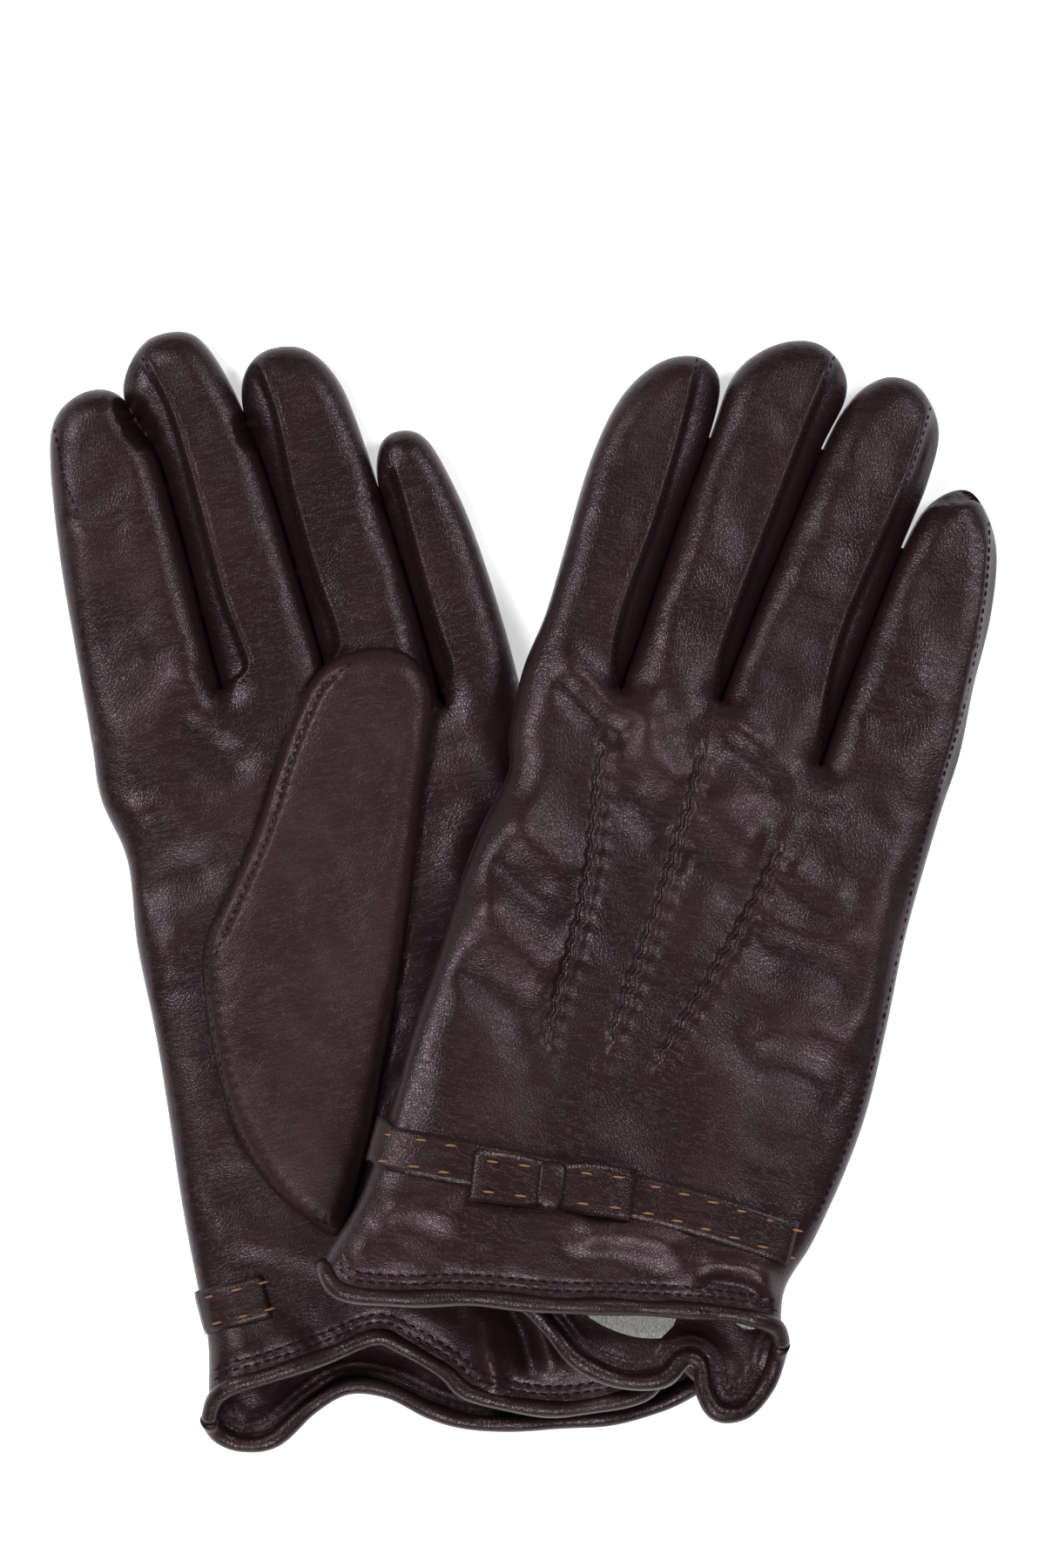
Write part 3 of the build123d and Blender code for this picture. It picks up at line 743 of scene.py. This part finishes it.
def stitches(glove, path, kind, upper=True, proud=0.1, skip=None, slant=0.0):
    """Stitches along a plan path, each turned a little to it. kind is their pitch, length and width."""
    pitch, length, width = kind
    spots, ways = along(smooth(path, 0.8), pitch)
    raised = on_leather(glove, spots, upper, proud)
    held = np.ones(len(spots), bool) if upper == "thumb" else within(glove, spots, upper)
    shapes = []
    turn = np.array([[math.cos(slant), math.sin(slant)], [-math.sin(slant), math.cos(slant)]])
    for spot, way, point, ok in zip(spots, ways, raised, held):
        if ok and not (skip and skip(spot)):
            shapes.append(stitch(point, np.array([*(way @ turn), 0.0]), length, width, 1 if upper else -1))
    return shapes


def ribbon(top, thick, width_way, half_width, rows=8):
    """A flat strip along the centres in top, with rounded long edges."""
    centres = np.asarray(top, float)
    across = np.asarray(width_way, float)
    ways = np.gradient(centres, axis=0)
    ways /= np.maximum(np.linalg.norm(ways, axis=1), 1e-9)[:, None]
    rise = np.cross(across, ways)
    rise /= np.maximum(np.linalg.norm(rise, axis=1), 1e-9)[:, None]
    section = []
    for t in np.linspace(-1, 1, rows):
        section.append((t * half_width, thick / 2 * (1 - 0.6 * t ** 8)))
    section += [(x, -thick / 2) for x, _ in section[::-1]]
    m = len(section)
    points = np.vstack([[c + across[i] * x + rise[i] * y for x, y in section]
                        for i, c in enumerate(centres)])
    faces = loops_of_quads(len(centres), m)
    faces.append(tuple(range(m))[::-1])
    faces.append(tuple((len(centres) - 1) * m + j for j in range(m)))
    return points, faces


def thumb(glove, material):
    """The thumb: a flat pouch on the palm, sewn down at its lower left side."""
    loop = smooth(glove["thumb"], GRID, closed=True)
    closed = np.vstack([loop, loop[:1]])
    sewn = smooth(glove["thumb"][:8], 0.8)
    strip = smooth(shifted(glove["thumb"][6:13], THUMB_SEAM), 0.8)
    fine = fill(loop, FINE, 2.4)
    fine = fine[(measure(fine, strip)[0] < 2.0) | (measure(fine, sewn)[0] < 5.0)]
    grid = fill(loop, GRID, 2.4)
    grid = grid[(measure(grid, strip)[0] > 2.4) & (measure(grid, sewn)[0] > 5.4)]
    pts = np.vstack([loop, *rim_rings(loop, RIM_RINGS), grid, fine])
    flat, faces = triangulate(pts, len(loop))
    faces = np.array(faces)
    u, v = flat[:, 0], flat[:, 1]
    edge, _, _ = measure(flat, closed)
    profile = domed(edge, THUMB_ROUND)
    seed = 31 if glove["palm"] > 0 else 37
    w = 0.55 * noise(u / 20, v / 26, seed) + 0.28 * noise(u / 8, v / 10, seed + 1)
    w += 0.08 * noise(u / 3, v / 3, seed + 2)
    gap, where, _ = measure(flat, sewn)
    w += 0.26 * np.sin(2 * math.pi * where / 2.6) * bell(gap - 1.2, 1.6) - 0.8 * bell(gap, 6.0)
    gap, where, _ = measure(flat, strip)
    ends = ease(where, 0, 6) * ease(where.max() - where, 0, 6)
    w += ends * (0.12 * np.sin(2 * math.pi * where / 2.6) * bell(gap, 1.5) - 0.75 * bell(gap, 0.6))
    h = np.maximum((THUMB_THICK + w) * profile, 0)
    palm = glove["palm"]
    base = palm * THUMB_BASE
    top = np.column_stack([flat, base + palm * h])
    under = np.column_stack([flat, base - palm * (0.05 + 0.12 * noise(u / 7, v / 9, seed + 3)) * profile])
    glove["surface"]["thumb"] = (tree_of(flat), top[:, 2])
    tri = faces if palm > 0 else faces[:, ::-1]
    points = np.vstack([top, under])
    faces = np.vstack([tri, tri[:, ::-1] + len(flat)])
    relief = np.concatenate([w, 0 * w])
    return build(f"{glove['name']}_thumb_leather", glove, points, faces, material, "glove_leather", relief)


def shifted(points, by):
    """The points moved sideways, to the right of the way they run."""
    p = np.array(points, float)
    way = np.gradient(p, axis=0)
    way /= np.linalg.norm(way, axis=1)[:, None]
    return p + by * np.column_stack([way[:, 1], -way[:, 0]])


# ---------- materials ----------

def new_material(name):
    material = bpy.data.materials.new(name)
    material.use_nodes = True
    tree = material.node_tree
    shader = tree.nodes["Principled BSDF"]
    place = tree.nodes.new("ShaderNodeAttribute")
    place.attribute_name = "place"
    return material, tree, shader, place.outputs["Vector"]


def add(tree, kind, **values):
    node = tree.nodes.new(kind)
    for key, value in values.items():
        if key in node.inputs:
            node.inputs[key].default_value = value
        else:
            setattr(node, key, value)
    return node


def mix_colour(tree, factor, low, high):
    node = tree.nodes.new("ShaderNodeMix")
    node.data_type = "RGBA"
    tree.links.new(factor, node.inputs[0])
    node.inputs[6].default_value = (*low, 1)
    if isinstance(high, tuple):
        node.inputs[7].default_value = (*high, 1)
    else:
        tree.links.new(high, node.inputs[7])
    return node.outputs[2]


def leather_material(name, dark, light, roughness):
    """Smooth nappa: fine pebbled grain, hair-fine creases across the fingers and a soft, uneven shine, its
    colour painted darker in the hollows of its relief as shade and lighter on the crests as wear and painted
    highlight.
    """
    material, tree, shader, place = new_material(name)
    link = tree.links.new
    cloudy = add(tree, "ShaderNodeTexNoise", Scale=0.05, Detail=3.0, Roughness=0.5)
    pebble = add(tree, "ShaderNodeTexVoronoi", Scale=1.5, feature="DISTANCE_TO_EDGE")
    micro = add(tree, "ShaderNodeTexNoise", Scale=3.4, Detail=4.0)
    stretch = add(tree, "ShaderNodeMapping")
    stretch.inputs["Scale"].default_value = (0.17, 0.85, 0.4)
    crack = add(tree, "ShaderNodeTexNoise", Scale=1.0, Detail=5.0, Roughness=0.65, Distortion=0.5)
    link(place, stretch.inputs["Vector"])
    link(stretch.outputs[0], crack.inputs["Vector"])
    for node in (pebble, micro, cloudy):
        link(place, node.inputs["Vector"])
    middle = add(tree, "ShaderNodeMath", operation="SUBTRACT")
    link(crack.outputs["Fac"], middle.inputs[0])
    middle.inputs[1].default_value = 0.5
    size = add(tree, "ShaderNodeMath", operation="ABSOLUTE")
    link(middle.outputs[0], size.inputs[0])
    line = add(tree, "ShaderNodeMapRange", **{"From Min": 0.0, "From Max": 0.014})
    link(size.outputs[0], line.inputs["Value"])
    ridge = add(tree, "ShaderNodeMapRange", **{"From Min": 0.0, "From Max": 0.22})
    link(pebble.outputs["Distance"], ridge.inputs["Value"])

    # The relief tints the colour. It is darker in the hollows of the folds, creases, grooves and stitch lines,
    # which is painted shade. It is lighter on the crests, which is partly wear and partly painted highlight.
    relief = add(tree, "ShaderNodeAttribute", attribute_name="relief")
    wear_and_shade_level = add(tree, "ShaderNodeMapRange", **{"From Min": -0.9, "From Max": 1.6})
    link(relief.outputs["Fac"], wear_and_shade_level.inputs["Value"])
    tone = mix_colour(tree, cloudy.outputs["Fac"], dark, light)
    wear_and_shade_tint = add(tree, "ShaderNodeMix", data_type="RGBA", blend_type="MULTIPLY")
    wear_and_shade_tint.inputs[0].default_value = 1.0
    shade = add(tree, "ShaderNodeValToRGB")
    shade.color_ramp.elements[0].color = (0.76, 0.75, 0.75, 1)
    shade.color_ramp.elements[1].color = (1.25, 1.24, 1.24, 1)
    link(wear_and_shade_level.outputs[0], shade.inputs["Fac"])
    link(tone, wear_and_shade_tint.inputs[6])
    link(shade.outputs[0], wear_and_shade_tint.inputs[7])
    link(wear_and_shade_tint.outputs[2], shader.inputs["Base Color"])
    shine = add(tree, "ShaderNodeMapRange", **{"From Min": 0.32, "From Max": 0.68,
                                              "To Min": roughness - 0.03, "To Max": roughness + 0.06})
    link(cloudy.outputs["Fac"], shine.inputs["Value"])
    link(shine.outputs[0], shader.inputs["Roughness"])
    bump = None
    for source, strength, depth in ((line.outputs[0], 0.35, 0.040), (ridge.outputs[0], 0.50, 0.050),
                                    (micro.outputs["Fac"], 0.12, 0.03)):
        node = add(tree, "ShaderNodeBump", Strength=strength, Distance=depth * MM)
        link(source, node.inputs["Height"])
        if bump:
            link(bump.outputs[0], node.inputs["Normal"])
        bump = node
    link(bump.outputs[0], shader.inputs["Normal"])
    shader.inputs["Specular IOR Level"].default_value = 0.30
    shader.inputs["Specular Tint"].default_value = (1.0, 0.80, 0.86, 1)
    return material


def knit_material():
    """Grey-white knitted lining, with rows of loops."""
    material, tree, shader, place = new_material("knit")
    link = tree.links.new
    wave = add(tree, "ShaderNodeTexWave", Scale=0.42, Distortion=2.2, Detail=3.0)
    cross = add(tree, "ShaderNodeTexNoise", Scale=1.6, Detail=3.0)
    link(place, wave.inputs["Vector"])
    link(place, cross.inputs["Vector"])
    tone = mix_colour(tree, cross.outputs["Fac"], (0.10, 0.095, 0.09), (0.72, 0.70, 0.67))
    link(tone, shader.inputs["Base Color"])
    first = add(tree, "ShaderNodeBump", Strength=0.8, Distance=0.5 * MM)
    link(wave.outputs["Fac"], first.inputs["Height"])
    second = add(tree, "ShaderNodeBump", Strength=0.6, Distance=0.3 * MM)
    link(cross.outputs["Fac"], second.inputs["Height"])
    link(first.outputs[0], second.inputs["Normal"])
    link(second.outputs[0], shader.inputs["Normal"])
    shader.inputs["Roughness"].default_value = 0.95
    shader.inputs["Sheen Weight"].default_value = 0.4
    return material


def thread_material(name, dark, light):
    """Twisted thread."""
    material, tree, shader, place = new_material(name)
    link = tree.links.new
    twist = add(tree, "ShaderNodeTexWave", Scale=2.4, Distortion=0.6)
    link(place, twist.inputs["Vector"])
    link(mix_colour(tree, twist.outputs["Fac"], dark, light), shader.inputs["Base Color"])
    bump = add(tree, "ShaderNodeBump", Strength=0.6, Distance=0.08 * MM)
    link(twist.outputs["Fac"], bump.inputs["Height"])
    link(bump.outputs[0], shader.inputs["Normal"])
    shader.inputs["Roughness"].default_value = 0.75
    shader.inputs["Specular IOR Level"].default_value = 0.15
    return material


# ---------- pieces on the glove ----------

def back_is_top(glove):
    return glove["palm"] < 0


def strap(glove, material, thread):
    """The strap across the back, round the thumb's side and onto the palm a little way, with its stitches."""
    upper = back_is_top(glove)
    v, name = glove["strap"], glove["name"]
    us = np.linspace(*STRAP_ENDS, 72)
    sway = v + (1.9 * np.sin((us + 20) / 24) if upper else 0 * us)
    line = np.column_stack([us, sway])
    main = on_leather(glove, line, upper, 0.55)
    return_u = np.linspace(STRAP_ENDS[0], STRAP_RETURN, 14)
    return_line = np.column_stack([return_u, np.full(14, v)])
    back = on_leather(glove, return_line, not upper, 0.55)[::-1]
    left = np.array([[-47.6, v, main[0, 2] * 0.55], [-48.2, v, 0.0], [-47.6, v, back[-1, 2] * 0.55]])
    spine = np.vstack([back, left[::-1], main])
    across = np.tile([0.0, 1.0, 0.0], (len(spine), 1))
    strip = ribbon(spine, STRAP_THICK, across, STRAP_HALF)
    band = build(f"{name}_strap", glove, *strip, material, "trim_leather")
    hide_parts(f"{name}_wrist_strap")
    shapes = []
    bow_left, bow_right = glove["bow"] - BOW_LENGTH / 2 - 1, glove["bow"] + BOW_LENGTH / 2 + 1
    for offset in STRAP_ROWS:
        shapes += stitches(glove, line + (0, offset), TAN_STITCH, upper, 1.0,
                           lambda p: bow_left < p[0] < bow_right, slant=0.14)
        shapes += stitches(glove, return_line + (0, offset), RETURN_STITCH, not upper, 1.0)
    sewn = build(f"{name}_strap_thread", glove, *gather(shapes), thread, "tan_thread")
    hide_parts(f"{name}_strap_stitches")
    return [band, sewn]


def bow(glove, material, thread):
    """A flat bow: a folded loop each side of a tight band, with a stitch at each corner of each loop."""
    upper, name = back_is_top(glove), glove["name"]
    side = 1 if upper else -1
    u0, v0 = glove["bow"], glove["strap"] - BOW_BELOW

    def turned(points):
        """The points turned in plan about the bow's middle, because the bow lies askew on its strap."""
        p = np.array(points, float)
        du, dv = p[:, 0] - u0, p[:, 1] - v0
        p[:, 0] = u0 + du * math.cos(BOW_ASKEW) - dv * math.sin(BOW_ASKEW)
        p[:, 1] = v0 + du * math.sin(BOW_ASKEW) + dv * math.cos(BOW_ASKEW)
        return p

    base = on_leather(glove, [(u0, v0)], upper, 0.95)[0, 2]
    lift = 1.25 if upper else 0.45
    m, rows_n = 64, 9
    t = np.linspace(0, 2 * math.pi, m, endpoint=False)
    half = BOW_LENGTH / 2
    x = half * np.sign(np.cos(t)) * np.abs(np.cos(t)) ** 0.55
    waist = 1 - 0.72 * np.exp(-(x / 3.2) ** 2)
    z = side * (lift * waist * np.sin(t) * 1.15 + lift + 0.1)
    pinch = 1 - 0.22 * np.exp(-(x / 4.0) ** 2)
    droop = 0.12 * np.sin(x / 5)
    ring = np.column_stack([u0 + x, np.full(m, v0), base + z + side * droop])
    centre = np.array([u0, v0, base + side * (lift + 0.1)])
    skin, faces = [], []
    for thick in (0.0, 0.42):
        for r in np.linspace(-1, 1, rows_n):
            p = ring.copy()
            p[:, 1] += r * BOW_WIDTH / 2 * pinch
            out = p - centre
            out[:, 1] = 0
            out /= np.maximum(np.linalg.norm(out, axis=1), 1e-6)[:, None]
            skin.append(p - out * thick)
    for layer in (0, 1):
        for k in range(rows_n - 1):
            for j in range(m):
                a = (layer * rows_n + k) * m + j
                b = (layer * rows_n + k) * m + (j + 1) % m
                quad = (a, b, b + m, a + m)
                faces.append(quad if layer else quad[::-1])
    for k in (0, rows_n - 1):
        for j in range(m):
            a, b = k * m + j, k * m + (j + 1) % m
            quad = (a, b, b + rows_n * m, a + rows_n * m)
            faces.append(quad if k else quad[::-1])
    loops = build(f"{name}_bow_loops", glove, turned(np.vstack(skin)), faces, material, "trim_leather")
    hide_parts(f"{name}_bow")
    n = 40
    turn = np.linspace(0, 2 * math.pi, n, endpoint=False)
    band = []
    for k, r in enumerate(np.linspace(-1, 1, rows_n)):
        bulge = 1 + 0.16 * (1 - r ** 2)
        ridge = 1 + 0.05 * math.cos(2.1 * k)
        y = v0 + (BOW_WIDTH / 2 * 0.80) * bulge * ridge * np.sign(np.cos(turn)) * np.abs(np.cos(turn)) ** 0.6
        stand = (lift * 0.62 + 0.75) * bulge * np.sign(np.sin(turn)) * np.abs(np.sin(turn)) ** 0.7
        z = base + side * (lift + 0.1 + stand)
        band.append(np.column_stack([np.full(n, u0 + r * KNOT_HALF - 0.5), y, z]))
    faces = loops_of_quads(rows_n, n)
    faces.append(tuple(range(n))[::-1])
    faces.append(tuple((rows_n - 1) * n + j for j in range(n)))
    knot = build(f"{name}_bow_band", glove, turned(np.vstack(band)), faces, material, "trim_leather")
    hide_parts(f"{name}_bow_knot")
    shapes = []
    top = base + side * (2.15 * lift + 0.18)
    _, length, width = TAN_STITCH
    for du in BOW_COLUMNS:
        for dv in BOW_ROWS:
            middle = np.array([u0 + du, v0 + dv, top])
            shapes.append(stitch(middle, np.array([1.0, 0, 0]), length, width, side))
    points, faces = gather(shapes)
    sewn = build(f"{name}_bow_thread", glove, turned(points), faces, thread, "tan_thread")
    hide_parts(f"{name}_bow_stitches")
    return [loops, knot, sewn]


def tucks(glove, material):
    """The rolled crests of the three tucks down the back, drawn up into small waves by their stitching."""
    upper, name = back_is_top(glove), glove["name"]
    shapes = []
    for k, path in enumerate(glove["tucks"]):
        spots, ways = along(smooth(path, 0.7), 0.5)
        s = np.arange(len(spots)) * 0.5
        wave = 2 * math.pi * s / SCALLOP + k
        wobble = 0.28 * np.sin(wave) + 0.12 * np.sin(0.37 * wave) + 0.35
        spots = spots + np.column_stack([ways[:, 1], -ways[:, 0]]) * wobble[:, None]
        fade = ease(s, 2, 11) * ease(s[-1] - s, 2, 12)
        centres = on_leather(glove, spots, upper, -0.55)
        centres[:, 2] += (1 if upper else -1) * 0.12 * fade
        shapes.append(tube(centres, 0.25 + 0.50 * fade, sides=12))
    obj = build(f"{name}_tucks", glove, *gather(shapes), material, "glove_leather")
    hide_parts(f"{name}_back_tucks")
    return obj


def cuff(glove, material, thread, knit):
    """The rolled hems, their two rows of stitches and the lining inside."""
    name = glove["name"]
    rolls, threads, made = [], [], []
    for upper in (True, False):
        hem = glove["hem_points"][upper]
        spots, _ = along(hem, 0.9)
        centres = on_leather(glove, spots, upper, -0.7)
        s = np.arange(len(spots)) * 0.9
        centres[:, 2] += 0.20 * np.sin(s / 3.1)
        rolls.append(tube(centres, ROLL_RADIUS + 0.12 * np.sin(s / 2.9), sides=16))
        for offset in HEM_ROWS:
            threads += stitches(glove, shifted(spots, offset)[3:-3], HEM_STITCH, upper, 0.12)
    roll = build(f"{name}_hem_roll", glove, *gather(rolls), material, "trim_leather")
    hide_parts(f"{name}_cuff_binding")
    sewn = build(f"{name}_hem_thread", glove, *gather(threads), thread, "trim_leather")
    columns, rows = 56, 40
    side = smooth(glove["side"])
    edge = smooth([glove["gap3"], *glove["edge"][::-1]][1:])
    t = np.linspace(0, 1, columns)
    around = []
    for upper, across in ((True, t), (False, t[::-1])):
        hem = glove["hem_points"][upper]
        hem = hem[np.argsort(hem[:, 0])]
        first = glove["bare"][0 if upper else 1]
        layer = []
        for depth in np.linspace(0, LINING_DEPTH, rows):
            u = -48 + 96 * across
            for _ in range(3):
                bare = first + (BARE_END * ease(u, 22, 27) if not upper else 0)
                v = np.interp(u, hem[:, 0], hem[:, 1]) + bare + depth
                low = np.interp(v, side[:, 1], side[:, 0]) + 3.0
                high = np.interp(v, edge[:, 1], edge[:, 0]) - 3.0
                u = low + (high - low) * across
            layer.append(on_leather(glove, np.column_stack([u, v]), upper, -1.5))
        around.append(np.array(layer))
    sleeve = np.concatenate(around, axis=1)
    points = sleeve.reshape(-1, 3)
    points[:, 2] += 0.22 * noise(points[:, 0] / 2.6, points[:, 1] / 2.6, 41)
    m = 2 * columns
    faces = [(r * m + c, (r + 1) * m + c, (r + 1) * m + (c + 1) % m, r * m + (c + 1) % m)
             for r in range(rows - 1) for c in range(m)]
    lining = build(f"{name}_lining_knit", glove, points, faces, knit, "knit_lining")
    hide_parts(f"{name}_hand_lining", f"{name}_wrist_elastic")
    return [roll, sewn, lining]


def seam_threads(glove, material):
    """The fine stitches along the seams of the fingers, one piece for each finger and one for the hand."""
    made = {}
    for key, path in glove["seams"].items():
        shapes = stitches(glove, path, SEAM_STITCH, True, 0.1)
        made[key] = build(f"{glove['name']}_{key}_seam", glove, *gather(shapes), material, "glove_leather")
    return made


def gussets(glove, material):
    """The edges of the strips between the fingers. Each goes with the finger on its left."""
    made = {}
    for i, name in enumerate(FINGERS[:3]):
        down = glove[name][len(glove[name]) // 2:]
        tips = [max(v for _, v in glove[finger]) for finger in FINGERS[i:i + 2]]
        below_tip = min(tips) - GUSSET_SHORT
        path = smooth([p for p in down if p[1] < below_tip] + [glove[f"gap{i + 1}"]])
        way = np.gradient(path, axis=0)
        across = np.column_stack([-way[:, 1], way[:, 0]]) / np.linalg.norm(way, axis=1)[:, None]
        centres = np.column_stack([path, np.full(len(path), GUSSET_LEVEL)])
        strip = ribbon(centres, 0.6, np.column_stack([across, np.zeros(len(path))]), GUSSET_HALF)
        made[name] = build(f"{glove['name']}_{name}_gusset", glove, *strip, material, "glove_leather")
    return made


def thumb_threads(glove, material):
    """The stitches that hold the thumb's lower left side and those of the seam up its edge."""
    sewn = shifted(glove["thumb"][:8], THUMB_SEWN)
    strip = shifted(glove["thumb"][6:13], THUMB_SEAM)
    shapes = stitches(glove, sewn, SEAM_STITCH, "thumb", 0.05)
    shapes += stitches(glove, strip, SEAM_STITCH, "thumb", 0.05)
    return build(f"{glove['name']}_thumb_seam", glove, *gather(shapes), material, "glove_leather")


def quirk(glove, material):
    """The small tongue beside the thumb."""
    corners = np.array(glove["quirk"], float)
    loop = smooth(corners, 0.8, closed=True)
    upper = glove["palm"] > 0
    centre = loop.mean(axis=0)
    rings = [loop, centre + (loop - centre) * 0.7, centre + (loop - centre) * 0.3]
    lifts = (-0.25, 0.22, 0.3)
    points = np.vstack([on_leather(glove, ring, upper, lift) for ring, lift in zip(rings, lifts)])
    m = len(loop)
    faces = loops_of_quads(len(rings), m)
    faces.append(tuple(2 * m + j for j in range(m)))
    obj = build(f"{glove['name']}_quirk", glove, points, faces, material, "glove_leather")
    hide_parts(f"{glove['name']}_thumb_quirk")
    return obj


def bend(obj, glove, start, end):
    """Bakes the piece's placing into its mesh; it does not bend it, and start and end, though laid out, are
    not used.
    """
    a, b = lay(glove, [start, end])
    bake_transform(obj)


# ---------- the pair ----------

BROWN = leather_material("nappa_brown", (0.0088, 0.0031, 0.0042), (0.0160, 0.0060, 0.0072), 0.30)
WARM = leather_material("nappa_thumb", (0.0135, 0.0048, 0.0050), (0.0220, 0.0084, 0.0084), 0.36)
TRIM = leather_material("nappa_trim", (0.0088, 0.0032, 0.0040), (0.0160, 0.0060, 0.0068), 0.29)
KNIT = knit_material()
TAN = thread_material("tan_thread", (0.13, 0.060, 0.026), (0.33, 0.18, 0.09))
DARK = thread_material("dark_thread", (0.004, 0.002, 0.003), (0.014, 0.007, 0.008))

for glove in GLOVES:
    name = glove["name"]
    hand = f"{name}_hand"
    made = leather(glove, BROWN)
    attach(made["hand"], hand)
    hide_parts(f"{name}_palm_panel", f"{name}_back_panel")
    for k, finger in enumerate(FINGERS):
        piece = made[finger]
        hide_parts(f"{name}_{finger}_stall", f"{name}_{finger}_fourchette",
                    f"{name}_{finger}_lining")
        bend(piece, glove, (0, glove["starts"][k], 0), (0, glove["ends"][k], 0))
    for key, piece in seam_threads(glove, DARK).items():
        if key == "hand":
            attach(piece, hand)
        else:
            k = FINGERS.index(key)
            bend(piece, glove, (0, glove["starts"][k], 0), (0, glove["ends"][k], 0))
    for key, piece in gussets(glove, BROWN).items():
        k = FINGERS.index(key)
        bend(piece, glove, (0, glove["starts"][k], 0), (0, glove["ends"][k], 0))
    pouch = thumb(glove, WARM if glove["palm"] > 0 else BROWN)
    sewing = thumb_threads(glove, DARK)
    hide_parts(f"{name}_thumb_root", f"{name}_thumb_stall", f"{name}_thumb_lining")
    for piece in (pouch, sewing):
        bend(piece, glove, (THUMB_FOLD[0], 0, 0), (THUMB_FOLD[1], 0, 0))
    for piece in (*strap(glove, TRIM, TAN), *bow(glove, TRIM, TAN), tucks(glove, BROWN),
                  *cuff(glove, TRIM, DARK, KNIT), quirk(glove, BROWN)):
        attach(piece, hand)


# ---------- floor, light and camera ----------

FLOOR_GLOW = 0.55       # the floor is a light table, so it stays pale right to its far edge


def floor():
    mesh = bpy.data.meshes.new("floor")
    size = 3.0
    corners = [(-size, -size, 0), (size, -size, 0), (size, size, 0), (-size, size, 0)]
    mesh.from_pydata(corners, [], [(0, 1, 2, 3)])
    obj = bpy.data.objects.new("floor", mesh)
    bpy.context.scene.collection.objects.link(obj)
    material = bpy.data.materials.new("pale_floor")
    material.use_nodes = True
    shader = material.node_tree.nodes["Principled BSDF"]
    shader.inputs["Base Color"].default_value = (0.92, 0.92, 0.92, 1)
    shader.inputs["Roughness"].default_value = 0.9
    shader.inputs["Emission Color"].default_value = (1, 1, 1, 1)
    shader.inputs["Emission Strength"].default_value = FLOOR_GLOW
    mesh.materials.append(material)


def area_light(name, place, size, power):
    light = bpy.data.lights.new(name, "AREA")
    light.shape, light.size, light.energy = "SQUARE", size, power
    obj = bpy.data.objects.new(name, light)
    bpy.context.scene.collection.objects.link(obj)
    obj.location = place
    obj.rotation_mode = "QUATERNION"
    obj.rotation_quaternion = (-Vector(place)).to_track_quat("-Z", "Y")


floor()
area_light("key", (-0.72, 0.40, 0.95), 0.32, 10.2)
area_light("fill", (0.76, 0.46, 0.95), 0.32, 7.2)
area_light("low", (-0.10, -0.76, 0.92), 0.34, 10.0)
world = bpy.data.worlds.new("studio")
world.use_nodes = True
world.node_tree.nodes["Background"].inputs["Color"].default_value = (1, 1, 1, 1)
world.node_tree.nodes["Background"].inputs["Strength"].default_value = 0.16
bpy.context.scene.world = world
bpy.context.scene.view_settings.view_transform = "Standard"

# The camera looks straight down on a field 333 mm high.
LENS, SENSOR, FIELD = 300.0, 36.0, 333.0 * MM
camera_data = bpy.data.cameras.new("camera")
camera_data.lens, camera_data.sensor_width = LENS, SENSOR
camera = bpy.data.objects.new("camera", camera_data)
bpy.context.scene.collection.objects.link(camera)
SUBJECT = 12 * MM       # the height above the floor that the field is measured at
camera.location = (0.8 * MM, 24.4 * MM, FIELD * LENS / SENSOR + SUBJECT)
bpy.context.scene.camera = camera
